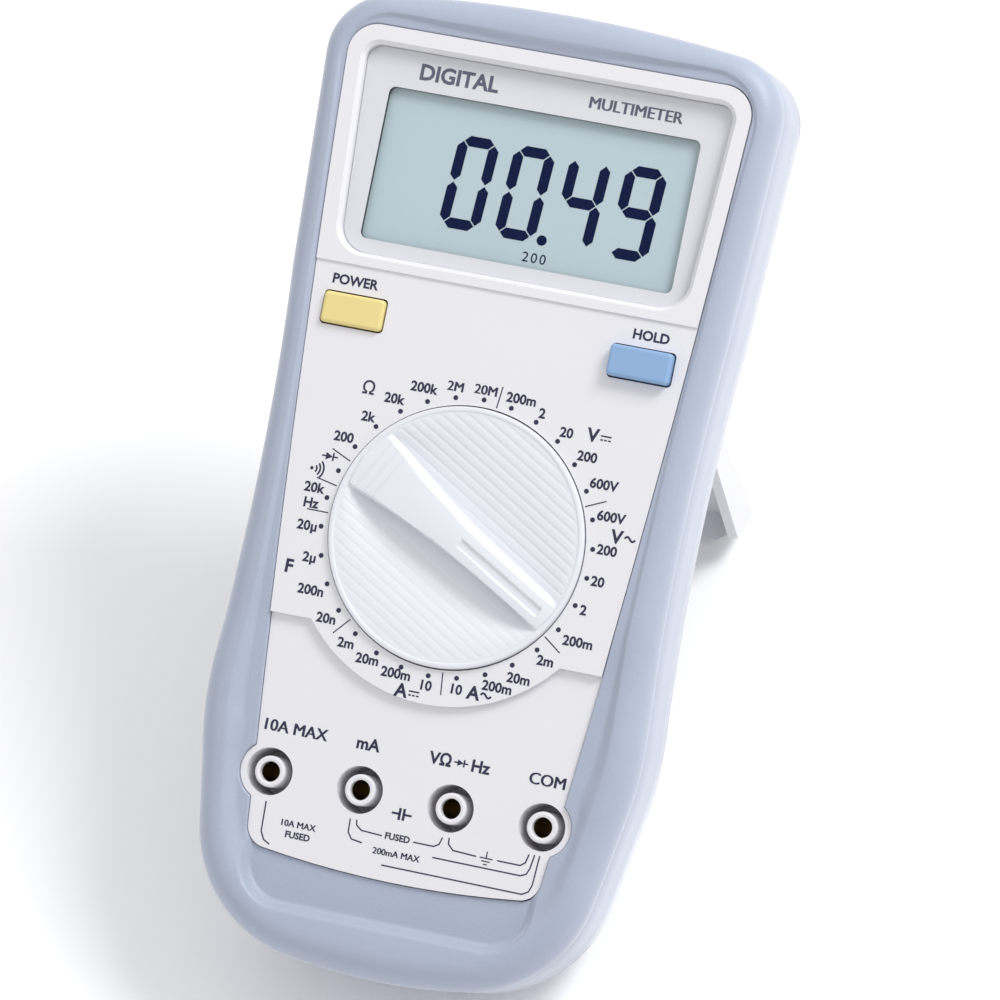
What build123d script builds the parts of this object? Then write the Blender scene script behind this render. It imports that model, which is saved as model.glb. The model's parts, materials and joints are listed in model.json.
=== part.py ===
"""Handheld digital multimeter on its tilt stand, in millimetres.

Everything is drawn with the meter lying on its back: X runs across the face, Y up the face and Z out of it, and the
origin is the centre of the rotary knob, level with the dial. At the end the finished pieces are tipped up together,
so that the heel of the case and the foot of the stand both touch the table, +Z is up, and the origin is the centre
of the footprint.
"""

from build123d import *
import os

# ---- driving dimensions -------------------------------------------------------------------------------------------
TOP_Y, BOTTOM_Y = 102.8, -86.2  # ends of the case: 189 long
RIM_Z, SEAM_Z, BACK_Z = 1.3, -21.5, -30.2  # crown of the front shell, joint between the shells, back: 31.5 thick
CORNER, SHOULDER, WAIST, HIP, HEEL = (46.3, 99.3), (43.9, 46.5), (42.3, 9.0), (44.1, -38.0), (36.9, -79.9)
CORNER_R, SHOULDER_R, HIP_R, HEEL_R = 12.0, 120.0, 70.0, 26.0
GAP = 0.15  # between pieces that drop into each other
CASE_WALL, RIM_ROUND = 3.2, 5.2
COVER_INSET, COVER_WALL = 0.8, 2.0
SLOPE_RUN, SLOPE_FLOOR = 12.0, -24.0  # the rear case slopes in behind the display
SHELF_Z, FLANGE_UNDER = -4.4, -6.4  # the front shell's ledge, and the flange of the face panel below it

# face panel: three levels, from the display down to the sockets
DISPLAY_LEVEL, DIAL_LEVEL, SOCKET_LEVEL = 0.4, 0.0, -1.2
DISPLAY_STEP_Y, SOCKET_STEP_Y, DIAL_APRON_R = 47.9, -20.6, 32.4
FACE_TOP_Y, FACE_BOTTOM_Y, FACE_FOOT_ARCH = 94.6, -67.2, 2.2
FACE_HALF_TOP, FACE_HALF_MID, FACE_HALF_LOW, FACE_HALF_FOOT = 40.9, 36.2, 30.7, 29.4
FACE_MID_Y, FACE_LOW_Y = 13.6, -51.0
PANEL_UNDER, PANEL_WALL = -3.2, 2.0
APRON_Y, APRON_HALF, APRON_DEPTH = -76.5, 29.2, 3.0

# display
LENS_TOP_Y, LENS_BOTTOM_Y, LENS_HALF_TOP, LENS_HALF_BOTTOM = 90.6, 50.6, 37.0, 34.6
WINDOW_HALF, WINDOW_TOP_Y, WINDOW_BOTTOM_Y = 31.4, 83.3, 53.4
WINDOW_Y = (WINDOW_TOP_Y + WINDOW_BOTTOM_Y) / 2
LENS_Z, LENS_THICK, MASK_THICK = -0.6, 1.4, 0.3
MASK_UNDER = LENS_Z - LENS_THICK - MASK_THICK
CELL_W, CELL_H, CELL_TOP, CELL_UNDER = 67.0, 33.6, -3.4, -5.8

# rotary knob
KNOB_R, KNOB_WELL_R, HUB_R, HUB_BORE_R = 25.2, 25.5, 8.92, 9.0
KNOB_ANGLE, DETENTS = -30.0, 30  # where the pointer stands, measured from +X
WELL_FLOOR, WELL_UNDER, RING_UNDER = -3.4, -4.8, -7.4
RING_R, RING_OUTER_R, NOTCH_R = 24.6, 27.2, 1.1
KNOB_RIM_Z, DISH_EDGE_Z, DISH_FLOOR_Z, BAR_TOP_Z = 1.0, 0.2, -1.9, 2.8
BAR_TAIL_Z, BAR_POINT_Z, BAR_ROOT_Z = 1.3, 1.0, -2.3
GROOVE_HALF, GROOVE_START = 0.85, 1.5  # of the pointer line
KNOB_HOLE_TOP, KNOB_SCREW_TIP = -1.4, -2.2
ROTOR_R, ROTOR_TOP, ROTOR_UNDER = 22.0, -5.1, -7.3
BALL_R, BALL_AT = 0.8, 23.3

# push buttons
BUTTON_X, BUTTON_Y, BUTTON_W, BUTTON_H, BUTTON_CLEAR = 28.95, 39.0, 12.3, 6.1, 0.3
BUTTON_OUT, BUTTON_LATCH = 2.4, 1.3
FLANGE_TOP, FLANGE_LOW, STEM_END, STEM_W = -3.5, -4.3, -6.0, 3.8
SWITCH_TOP, SWITCH_W, SWITCH_HOLE = -6.4, 8.4, 4.4

# input sockets
SOCKET_PITCH, SOCKET_Y, BORE_R, SLEEVE_R = 18.3, -50.9, 2.0, 2.5
SOCKET_XS = [(place - 1.5) * SOCKET_PITCH for place in range(4)]
WELL_R, CUP_R, CUP_FLOOR, CUP_END = 4.7, 5.9, -13.8, -15.0
TUBE_R, TUBE_BORE_R, TUBE_TOP = 2.95, 2.52, -1.6
SLEEVE_TOP, SLEEVE_END = -3.2, -20.8
LOBE_R = 5.95  # of the face panel around an outer socket

# boards and battery
BOARD_Z, BOARD_THICK, BOARD_HALF, BOARD_TOP_Y, BOARD_LOW_Y = -8.0, 1.6, 36.0, 92.0, -44.0
BOARD_BACK = BOARD_Z - BOARD_THICK
INPUT_BACK = CUP_END - BOARD_THICK
FUSE_Z = -21.2
BATTERY_L, BATTERY_W, BATTERY_T, BATTERY_X, BATTERY_Y = 44.5, 26.2, 16.8, 2.5, 65.0
BAY_HALF, BAY_LOW_Y, BAY_HIGH_Y, BAY_WALL = 28.0, 50.0, 80.5, 1.5
DOOR_HALF, DOOR_LOW_Y, DOOR_HIGH_Y, DOOR_THICK, DOOR_EAR_Y = 31.0, 47.5, 83.0, 2.0, 42.6
DOOR_SCREW_Y = 45.6
COVER_SCREWS_TOP = [(-36.0, 90.0), (36.0, 90.0)]
COVER_SCREWS_LOW = [(-31.5, -64.0), (31.5, -64.0)]
COVER_SCREWS = COVER_SCREWS_TOP + COVER_SCREWS_LOW
BOARD_SCREWS = [(-33.4, 46.8), (33.4, 46.8), (-28.5, -35.0), (28.5, -35.0)]
BOSS_R, BOSS_SPLIT = 3.0, -10.5

# tilt stand, drawn folded into the back
HINGE_Y, HINGE_Z, EYE_R = 37.0, BACK_Z + 2.6, 2.6
STAND_HALF, STAND_SKIN, STAND_WALL, STAND_DEPTH = 34.6, 2.6, 2.2, 8.4
FOOT_CORNER, FOOT_MID, FOOT_OUTER = 65.0, 71.3, 73.0
FOOT_BEND_X, FOOT_BEND = 27.5, 70.4
STAND_OPEN = 73.8
TRUNNION_R, TRUNNION_L, TRUNNION_BORE_R = 1.6, 2.0, 1.66
POCKET_GAP, POCKET_WALL = 0.5, 1.8

os.makedirs("parts", exist_ok=True)
finished = {}


def level(z):
    """Plane parallel to the face, at height z."""
    return Plane.XY.offset(z)


def keep(builder, name, turned=None):
    """Keeps a finished piece under its name, in the pose it has at rest."""
    finished[name] = turned * builder.part if turned else builder.part


def case_outline(inset=0.0):
    """The whole case outline, drawn inset millimetres inside it."""
    with BuildSketch() as outline:
        with BuildLine():
            ThreePointArc((-CORNER[0], CORNER[1]), (0, TOP_Y), CORNER)
            upper_side = Line(CORNER, SHOULDER)
            waist = ThreePointArc(SHOULDER, WAIST, HIP)
            lower_side = Line(HIP, HEEL)
            ThreePointArc(HEEL, (0, BOTTOM_Y), (-HEEL[0], HEEL[1]))
            for side in (upper_side, waist, lower_side):
                mirror(side, about=Plane.YZ)
        make_face()
        for corner, radius in ((CORNER, CORNER_R), (SHOULDER, SHOULDER_R), (HIP, HIP_R), (HEEL, HEEL_R)):
            fillet(outline.vertices().filter_by(lambda vertex: abs(vertex.Y - corner[1]) < 0.1), radius)
        if inset:
            offset(amount=-inset, kind=Kind.ARC, mode=Mode.REPLACE)
    return outline.sketch


def face_outline(inset=0.0):
    """The face panel: waisted sides, a flat top, an arched foot, and a round lobe at each outer socket."""
    with BuildSketch() as outline:
        with BuildLine():
            right = ThreePointArc(
                (FACE_HALF_TOP, FACE_TOP_Y), (FACE_HALF_MID, FACE_MID_Y), (FACE_HALF_LOW, FACE_LOW_Y)
            )
            flank = Line(right @ 1, (FACE_HALF_FOOT, FACE_BOTTOM_Y + FACE_FOOT_ARCH))
            ThreePointArc(flank @ 1, (0, FACE_BOTTOM_Y), (-FACE_HALF_FOOT, FACE_BOTTOM_Y + FACE_FOOT_ARCH))
            mirror(right, about=Plane.YZ)
            mirror(flank, about=Plane.YZ)
            Line((-FACE_HALF_TOP, FACE_TOP_Y), right @ 0)
        make_face()
        fillet(outline.vertices().group_by(Axis.Y)[-1], 6.0)
        fillet(outline.vertices().group_by(Axis.Y)[0], 4.5)
        with Locations((SOCKET_XS[0], SOCKET_Y), (SOCKET_XS[-1], SOCKET_Y)):
            Circle(LOBE_R)
        if inset:
            offset(amount=-inset, kind=Kind.ARC, mode=Mode.REPLACE)
    return outline.sketch


def lens_outline(grow=0.0):
    """Rounded trapezium of the display lens, grown all round."""
    with BuildSketch() as outline:
        low, high = LENS_BOTTOM_Y - grow, LENS_TOP_Y + grow
        Polygon(
            (-LENS_HALF_BOTTOM - grow, low), (LENS_HALF_BOTTOM + grow, low),
            (LENS_HALF_TOP + grow, high), (-LENS_HALF_TOP - grow, high), align=None,
        )
        fillet(outline.vertices().group_by(Axis.Y)[0], 5.5)
        fillet(outline.vertices().group_by(Axis.Y)[-1], 3.0)
    return outline.sketch


def window(grow=0.0, mode=Mode.ADD):
    """Rounded rectangle of the display's clear window."""
    with Locations((0, WINDOW_Y)):
        RectangleRounded(2 * (WINDOW_HALF + grow), WINDOW_TOP_Y - WINDOW_BOTTOM_Y + 2 * grow, 1.4, mode=mode)


def block(x_low, x_high, y_low, y_high, z_low, z_high, mode=Mode.ADD):
    """Plain block between six coordinates, inside the current part."""
    with Locations(((x_low + x_high) / 2, (y_low + y_high) / 2, z_low)):
        Box(
            x_high - x_low, y_high - y_low, z_high - z_low, mode=mode,
            align=(Align.CENTER, Align.CENTER, Align.MIN),
        )


def posts(places, radius, z_low, z_high, mode=Mode.ADD):
    """Equal upright cylinders, inside the current part."""
    with Locations(*[(x, y, z_low) for x, y in places]):
        Cylinder(radius, z_high - z_low, align=(Align.CENTER, Align.CENTER, Align.MIN), mode=mode)


def along_x(y, z):
    """Place for a cylinder that lies along X, centred at x = 0."""
    return Location((0, y, z), (0, 90, 0))


SOCKETS = [(x, SOCKET_Y) for x in SOCKET_XS]
BUTTONS = [(-BUTTON_X, BUTTON_Y), (BUTTON_X, BUTTON_Y)]

# ---- housing ------------------------------------------------------------------------------------------------------
with BuildPart() as front_case:
    with BuildSketch(level(SEAM_Z)):
        add(case_outline())
    extrude(amount=RIM_Z - SEAM_Z)
    fillet(front_case.edges().group_by(Axis.Z)[-1], RIM_ROUND)
    with BuildSketch(level(SEAM_Z)):
        add(case_outline(CASE_WALL))
    extrude(amount=SHELF_Z - SEAM_Z, mode=Mode.SUBTRACT)
    with BuildSketch(level(SHELF_Z)):
        add(face_outline())
    extrude(amount=RIM_Z - SHELF_Z, mode=Mode.SUBTRACT)
    # the scooped apron below the face
    with BuildSketch(level(RIM_Z)):
        with Locations((0, (FACE_BOTTOM_Y + 12 + APRON_Y) / 2)):
            RectangleRounded(2 * APRON_HALF, FACE_BOTTOM_Y + 12 - APRON_Y, 9.0)
    extrude(amount=-APRON_DEPTH, taper=30, mode=Mode.SUBTRACT)
keep(front_case, "front_case")

with BuildPart() as face_panel:
    with BuildSketch(level(FLANGE_UNDER)):
        add(case_outline(CASE_WALL + GAP))
    extrude(amount=SHELF_Z - FLANGE_UNDER)
    with BuildSketch(level(FLANGE_UNDER)):
        add(face_outline(GAP))
    extrude(amount=DISPLAY_LEVEL - FLANGE_UNDER)
    block(-50, 50, FACE_BOTTOM_Y - 1, DISPLAY_STEP_Y, DIAL_LEVEL, DISPLAY_LEVEL, mode=Mode.SUBTRACT)
    with BuildSketch(level(SOCKET_LEVEL)):
        with Locations((0, SOCKET_STEP_Y)):
            Rectangle(100, 50, align=(Align.CENTER, Align.MAX))
        Circle(DIAL_APRON_R, mode=Mode.SUBTRACT)
    extrude(amount=DIAL_LEVEL - SOCKET_LEVEL, mode=Mode.SUBTRACT)
    # hollow underside, with the knob's well, its notched ring and the socket cups standing in it
    with BuildSketch(level(FLANGE_UNDER)):
        add(face_outline(GAP + PANEL_WALL))
    extrude(amount=PANEL_UNDER - FLANGE_UNDER, mode=Mode.SUBTRACT)
    with BuildSketch(level(RING_UNDER)):
        Circle(RING_OUTER_R)
    extrude(amount=PANEL_UNDER - RING_UNDER)
    with BuildSketch(level(RING_UNDER)):
        Circle(RING_R)
        with PolarLocations(RING_R, DETENTS):
            Circle(NOTCH_R)
    extrude(amount=WELL_UNDER - RING_UNDER, mode=Mode.SUBTRACT)
    posts([(0, 0)], KNOB_WELL_R, WELL_FLOOR, DIAL_LEVEL, mode=Mode.SUBTRACT)
    posts([(0, 0)], HUB_BORE_R, WELL_UNDER, WELL_FLOOR, mode=Mode.SUBTRACT)
    posts(SOCKETS, CUP_R, CUP_END, PANEL_UNDER)
    with BuildSketch(level(CUP_FLOOR)):
        with Locations(*SOCKETS):
            Circle(WELL_R)
            Circle(TUBE_R, mode=Mode.SUBTRACT)
    extrude(amount=SOCKET_LEVEL - CUP_FLOOR, mode=Mode.SUBTRACT)
    posts(SOCKETS, TUBE_R + GAP, TUBE_TOP, SOCKET_LEVEL, mode=Mode.SUBTRACT)
    posts(SOCKETS, TUBE_BORE_R, CUP_END, SLEEVE_TOP, mode=Mode.SUBTRACT)
    posts(SOCKETS, BORE_R, SLEEVE_TOP, TUBE_TOP, mode=Mode.SUBTRACT)
    # display recess and window
    with BuildSketch(level(MASK_UNDER)):
        add(lens_outline(GAP))
    extrude(amount=DISPLAY_LEVEL - MASK_UNDER, mode=Mode.SUBTRACT)
    chamfer(face_panel.faces().filter_by(Axis.Z).group_by(Axis.Z)[-1].edges().filter_by(
        lambda edge: LENS_BOTTOM_Y - 1 < edge.center().Y < LENS_TOP_Y + 1 and abs(edge.center().X) < 38), 0.8)
    with BuildSketch(level(PANEL_UNDER)):
        window(1.0)
    extrude(amount=MASK_UNDER - PANEL_UNDER, mode=Mode.SUBTRACT)
    # button holes, and bosses for the board's and the rear case's screws
    with BuildSketch(level(PANEL_UNDER)):
        with Locations(*BUTTONS):
            RectangleRounded(BUTTON_W + 2 * BUTTON_CLEAR, BUTTON_H + 2 * BUTTON_CLEAR, 0.9)
    extrude(amount=DIAL_LEVEL - PANEL_UNDER, mode=Mode.SUBTRACT)
    posts(BOARD_SCREWS, 2.5, BOARD_Z, PANEL_UNDER)
    posts(BOARD_SCREWS, 1.05, BOARD_Z, PANEL_UNDER - 0.4, mode=Mode.SUBTRACT)
    posts(COVER_SCREWS_TOP, BOSS_R, BOSS_SPLIT, PANEL_UNDER)
    posts(COVER_SCREWS_LOW, BOSS_R, BOSS_SPLIT, SHELF_Z - 1)
    posts(COVER_SCREWS, 1.35, BOSS_SPLIT, SHELF_Z - 1.4, mode=Mode.SUBTRACT)
keep(face_panel, "face_panel")

POCKET_END_Y = HINGE_Y - FOOT_OUTER - POCKET_GAP
POCKET_HEAD_Y = HINGE_Y + EYE_R + POCKET_WALL + 0.6
SCOOP_R, SCOOP_Y, SCOOP_Z = 10.5, POCKET_END_Y - 1.1, BACK_Z - 6.9
POCKET_DEEP_Z = BACK_Z + STAND_DEPTH + POCKET_GAP
POCKET_SHALLOW_Z = BACK_Z + 2 * EYE_R + POCKET_GAP
with BuildPart() as rear_case:
    with BuildSketch(level(BACK_Z)):
        add(case_outline(COVER_INSET))
    extrude(amount=SEAM_Z - BACK_Z)
    chamfer(rear_case.edges().group_by(Axis.Z)[0], length=6.5, length2=1.6)
    with BuildSketch(Plane.YZ):
        Polygon((TOP_Y - SLOPE_RUN, BACK_Z), (TOP_Y, BACK_Z), (TOP_Y, SEAM_Z - 1.5), align=None)
    extrude(amount=50, both=True, mode=Mode.SUBTRACT)
    fillet(rear_case.edges().group_by(Axis.Z)[0], 1.4)
    # hollow, shallower behind the sloped top
    with BuildSketch(level(SLOPE_FLOOR)):
        add(case_outline(COVER_INSET + COVER_WALL + 1.6))
    extrude(amount=SEAM_Z - SLOPE_FLOOR, mode=Mode.SUBTRACT)
    with BuildSketch(level(BACK_Z + COVER_WALL)):
        add(case_outline(COVER_INSET + COVER_WALL + 1.6))
        with Locations((0, TOP_Y)):
            Rectangle(100, SLOPE_RUN + 2.5, align=(Align.CENTER, Align.MAX), mode=Mode.SUBTRACT)
    extrude(amount=SLOPE_FLOOR - BACK_Z - COVER_WALL, mode=Mode.SUBTRACT)
    # the stand's pocket, deepest at the foot
    with BuildSketch(Plane.YZ):
        Polygon(
            (POCKET_HEAD_Y, BACK_Z + 1), (POCKET_HEAD_Y, POCKET_SHALLOW_Z + POCKET_WALL),
            (HINGE_Y - 18, POCKET_SHALLOW_Z + POCKET_WALL), (POCKET_END_Y + 7, POCKET_DEEP_Z + POCKET_WALL),
            (POCKET_END_Y - POCKET_WALL, POCKET_DEEP_Z + POCKET_WALL), (POCKET_END_Y - POCKET_WALL, BACK_Z + 1),
            align=None,
        )
    extrude(amount=STAND_HALF + POCKET_GAP + POCKET_WALL, both=True)
    with BuildSketch(Plane.YZ):
        Polygon(
            (HINGE_Y, BACK_Z), (HINGE_Y, POCKET_SHALLOW_Z), (HINGE_Y - 18, POCKET_SHALLOW_Z),
            (POCKET_END_Y + 7, POCKET_DEEP_Z), (POCKET_END_Y, POCKET_DEEP_Z), (POCKET_END_Y, BACK_Z), align=None,
        )
        with Locations((HINGE_Y, HINGE_Z)):
            Circle(EYE_R + POCKET_GAP)
        with Locations(Location((HINGE_Y, HINGE_Z), STAND_OPEN - 180)):
            Rectangle(8, 2 * EYE_R + 0.3, align=(Align.MIN, Align.CENTER))
    extrude(amount=STAND_HALF + POCKET_GAP, both=True, mode=Mode.SUBTRACT)
    with Locations(along_x(HINGE_Y, HINGE_Z)):
        Cylinder(TRUNNION_BORE_R, 2 * (STAND_HALF + POCKET_GAP + POCKET_WALL), mode=Mode.SUBTRACT)
    # battery bay with the door's ledge, and bosses for the screws
    block(-DOOR_HALF - 2, DOOR_HALF + 2, DOOR_LOW_Y - 2, DOOR_HIGH_Y + 2, BACK_Z + 1, BACK_Z + DOOR_THICK + 1.5)
    block(
        -BAY_HALF - BAY_WALL, BAY_HALF + BAY_WALL, BAY_LOW_Y - BAY_WALL, BAY_HIGH_Y + BAY_WALL, BACK_Z + 1, -11.0
    )
    block(-BAY_HALF, BAY_HALF, BAY_LOW_Y, BAY_HIGH_Y, BACK_Z, -11.0, mode=Mode.SUBTRACT)
    posts([(0, DOOR_SCREW_Y)], 3.0, BACK_Z + 1, -18.0)
    block(-DOOR_HALF - GAP, DOOR_HALF + GAP, DOOR_LOW_Y - GAP, DOOR_HIGH_Y + GAP, BACK_Z, BACK_Z + DOOR_THICK,
          mode=Mode.SUBTRACT)
    block(-6 - GAP, 6 + GAP, DOOR_EAR_Y - GAP, DOOR_LOW_Y, BACK_Z, BACK_Z + DOOR_THICK, mode=Mode.SUBTRACT)
    posts([(0, DOOR_SCREW_Y)], 1.35, BACK_Z, -19.0, mode=Mode.SUBTRACT)
    posts(COVER_SCREWS, BOSS_R, BACK_Z + COVER_WALL - 0.4, BOSS_SPLIT)
    posts(COVER_SCREWS, 1.5, BACK_Z, BOSS_SPLIT, mode=Mode.SUBTRACT)
    posts(COVER_SCREWS, 2.4, BACK_Z, -23.0, mode=Mode.SUBTRACT)
    # finger scoop at the stand's foot, with a wall behind it
    block(-SCOOP_R, SCOOP_R, SCOOP_Y - SCOOP_R, POCKET_END_Y - POCKET_WALL / 2, BACK_Z + COVER_WALL / 2,
          SCOOP_Z + SCOOP_R + POCKET_WALL)
    with Locations(Location((0, SCOOP_Y, SCOOP_Z), (0, 90, 0))):
        Sphere(SCOOP_R, mode=Mode.SUBTRACT)
keep(rear_case, "rear_case")

with BuildPart() as battery_door:
    block(-DOOR_HALF, DOOR_HALF, DOOR_LOW_Y, DOOR_HIGH_Y, BACK_Z, BACK_Z + DOOR_THICK)
    fillet(battery_door.edges().filter_by(Axis.Z), 1.0)
    block(-6, 6, DOOR_EAR_Y, DOOR_LOW_Y, BACK_Z, BACK_Z + DOOR_THICK)
    chamfer(battery_door.edges().group_by(Axis.Z)[0], 0.3)
    posts([(0, DOOR_SCREW_Y)], 1.5, BACK_Z, BACK_Z + DOOR_THICK, mode=Mode.SUBTRACT)
    posts([(0, DOOR_SCREW_Y)], 2.5, BACK_Z, BACK_Z + 1.2, mode=Mode.SUBTRACT)
    # grip ribs
    with Locations(*[(0, 68 + 3 * place, BACK_Z) for place in range(4)]):
        Box(24, 1.2, 0.8, mode=Mode.SUBTRACT)
keep(battery_door, "battery_door")

STAND_FOOT_Y = HINGE_Y - FOOT_OUTER
with BuildPart() as tilt_stand:
    # wedge, seen from its side, from the hinge to the foot
    with BuildSketch(Plane.YZ):
        Polygon(
            (HINGE_Y, BACK_Z), (STAND_FOOT_Y, BACK_Z), (HINGE_Y - FOOT_MID, BACK_Z + STAND_DEPTH),
            (HINGE_Y - FOOT_CORNER, BACK_Z + STAND_DEPTH), (HINGE_Y - 18, BACK_Z + 2 * EYE_R),
            (HINGE_Y, BACK_Z + 2 * EYE_R), align=None,
        )
        with Locations((HINGE_Y, HINGE_Z)):
            Circle(EYE_R)
    extrude(amount=STAND_HALF, both=True)
    # hollow between the walls
    with BuildSketch(Plane.YZ):
        Polygon(
            (HINGE_Y - 6, BACK_Z + STAND_SKIN), (HINGE_Y - FOOT_MID + STAND_WALL, BACK_Z + STAND_SKIN),
            (HINGE_Y - FOOT_MID + STAND_WALL, BACK_Z + STAND_DEPTH + 1), (HINGE_Y - 6, BACK_Z + STAND_DEPTH + 1),
            align=None,
        )
    extrude(amount=STAND_HALF - STAND_WALL, both=True, mode=Mode.SUBTRACT)
    # foot corners, cut through the outer corner, the inner corner and the bend of the inner edge
    for side in (1, -1):
        outer = Vector(side * STAND_HALF, STAND_FOOT_Y, BACK_Z)
        inner = Vector(side * STAND_HALF, HINGE_Y - FOOT_CORNER, BACK_Z + STAND_DEPTH)
        bend = Vector(side * FOOT_BEND_X, HINGE_Y - FOOT_BEND, BACK_Z + STAND_DEPTH)
        away = (inner - outer).cross(bend - outer) * side
        split(bisect_by=Plane(origin=outer, z_dir=away), keep=Keep.BOTTOM)
    fillet(tilt_stand.edges().filter_by(Axis.X).sort_by(Axis.Y)[0], 0.8)
    with Locations(along_x(HINGE_Y, HINGE_Z)):
        Cylinder(TRUNNION_R, 2 * (STAND_HALF + TRUNNION_L))
OPENED = Pos(0, HINGE_Y, HINGE_Z) * Rot(X=STAND_OPEN) * Pos(0, -HINGE_Y, -HINGE_Z)
keep(tilt_stand, "tilt_stand", OPENED)

# ---- display ------------------------------------------------------------------------------------------------------
with BuildPart() as display_lens:
    with BuildSketch(level(LENS_Z - LENS_THICK)):
        add(lens_outline())
    extrude(amount=LENS_THICK)
keep(display_lens, "display_lens")

with BuildPart() as display_mask:
    with BuildSketch(level(MASK_UNDER)):
        add(lens_outline())
        window(mode=Mode.SUBTRACT)
    extrude(amount=MASK_THICK)
keep(display_mask, "display_mask")

with BuildPart() as lcd_cell:
    # rear glass with the contact ledges, and the shorter front glass on it
    block(-CELL_W / 2, CELL_W / 2, WINDOW_Y - CELL_H / 2, WINDOW_Y + CELL_H / 2, CELL_UNDER, CELL_UNDER + 1.2)
    block(-CELL_W / 2, CELL_W / 2, WINDOW_Y - 15.2, WINDOW_Y + 15.2, CELL_UNDER + 1.2, CELL_TOP)
keep(lcd_cell, "lcd_cell")

FRAME_HALF, FRAME_LOW_Y, FRAME_HIGH_Y = 35.0, 50.1, 87.0
with BuildPart() as display_frame:
    with BuildSketch(level(BOARD_Z)):
        with Locations((0, (FRAME_LOW_Y + FRAME_HIGH_Y) / 2)):
            RectangleRounded(2 * FRAME_HALF, FRAME_HIGH_Y - FRAME_LOW_Y, 1.0)
        with Locations((0, WINDOW_Y)):
            Rectangle(CELL_W + 0.3, CELL_H + 0.3, mode=Mode.SUBTRACT)
        with Locations(*COVER_SCREWS_TOP):
            Circle(BOSS_R + 0.3, mode=Mode.SUBTRACT)
    extrude(amount=CELL_TOP - BOARD_Z)
    # floor under the glass, open over the board's contact rows
    with BuildSketch(level(CELL_UNDER - 1.0)):
        with Locations((0, WINDOW_Y)):
            Rectangle(CELL_W + 0.4, CELL_H + 0.4)
            with Locations((0, 15.4), (0, -15.4)):
                Rectangle(60, 2.2, mode=Mode.SUBTRACT)
    extrude(amount=1.0)
keep(display_frame, "display_frame")

with BuildPart() as zebra_strips:
    for row in (15.4, -15.4):
        block(-29.5, 29.5, WINDOW_Y + row - 0.9, WINDOW_Y + row + 0.9, BOARD_Z, CELL_UNDER)
keep(zebra_strips, "zebra_strips")

# ---- boards -------------------------------------------------------------------------------------------------------
with BuildPart() as main_board:
    with BuildSketch(level(BOARD_BACK)):
        with Locations((0, (BOARD_TOP_Y + BOARD_LOW_Y) / 2)):
            RectangleRounded(2 * BOARD_HALF, BOARD_TOP_Y - BOARD_LOW_Y, 2.0)
        with Locations(*COVER_SCREWS_TOP):
            Circle(BOSS_R + 0.4, mode=Mode.SUBTRACT)
        with Locations(*BOARD_SCREWS):
            Circle(1.3, mode=Mode.SUBTRACT)
    extrude(amount=BOARD_THICK)
keep(main_board, "main_board")

with BuildPart() as input_board:
    with BuildSketch(level(INPUT_BACK)):
        with Locations((0, -43.2)):
            Rectangle(67.0, 14.6, align=(Align.CENTER, Align.MAX))
            Rectangle(54.0, 29.0, align=(Align.CENTER, Align.MAX))
        with Locations(*SOCKETS):
            Circle(SLEEVE_R + 0.1, mode=Mode.SUBTRACT)
    extrude(amount=BOARD_THICK)
keep(input_board, "input_board")

with BuildPart() as board_screws:
    posts(BOARD_SCREWS, 1.0, BOARD_BACK, PANEL_UNDER - 1.4)
    posts(BOARD_SCREWS, 2.1, BOARD_BACK - 1.4, BOARD_BACK)
    for x, y in BOARD_SCREWS:
        block(x - 1.4, x + 1.4, y - 0.3, y + 0.3, BOARD_BACK - 1.4, BOARD_BACK - 0.8, mode=Mode.SUBTRACT)
        block(x - 0.3, x + 0.3, y - 1.4, y + 1.4, BOARD_BACK - 1.4, BOARD_BACK - 0.8, mode=Mode.SUBTRACT)
keep(board_screws, "board_screws")

COVER_HEAD_Z = -23.0
with BuildPart() as case_screws:
    posts(COVER_SCREWS, 1.3, COVER_HEAD_Z, SHELF_Z - 2.2)
    posts(COVER_SCREWS, 2.2, COVER_HEAD_Z - 1.8, COVER_HEAD_Z)
    for x, y in COVER_SCREWS:
        block(x - 1.5, x + 1.5, y - 0.35, y + 0.35, COVER_HEAD_Z - 1.8, COVER_HEAD_Z - 0.9, mode=Mode.SUBTRACT)
        block(x - 0.35, x + 0.35, y - 1.5, y + 1.5, COVER_HEAD_Z - 1.8, COVER_HEAD_Z - 0.9, mode=Mode.SUBTRACT)
keep(case_screws, "case_screws")

with BuildPart() as door_screw:
    posts([(0, DOOR_SCREW_Y)], 1.3, BACK_Z + 1.2, -20.5)
    posts([(0, DOOR_SCREW_Y)], 2.3, BACK_Z + 0.1, BACK_Z + 1.2)
    block(-1.6, 1.6, DOOR_SCREW_Y - 0.35, DOOR_SCREW_Y + 0.35, BACK_Z, BACK_Z + 0.7, mode=Mode.SUBTRACT)
keep(door_screw, "door_screw")

# components behind the main board
with BuildPart() as measuring_chip:
    block(-7, 7, 9, 23, BOARD_BACK - 2.2, BOARD_BACK - 0.2)
    chamfer(measuring_chip.edges().filter_by(Axis.Z), 0.8)
    for place in range(11):
        across = 10.0 + 1.2 * place
        block(-8.6, -7, across - 0.2, across + 0.2, BOARD_BACK - 1.0, BOARD_BACK)
        block(7, 8.6, across - 0.2, across + 0.2, BOARD_BACK - 1.0, BOARD_BACK)
keep(measuring_chip, "measuring_chip")

with BuildPart() as buzzer:
    posts([(-17, -24)], 10.0, BOARD_BACK - 4.2, BOARD_BACK)
    posts([(-17, -24)], 1.2, BOARD_BACK - 4.2, BOARD_BACK - 1.0, mode=Mode.SUBTRACT)
keep(buzzer, "buzzer")

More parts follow.
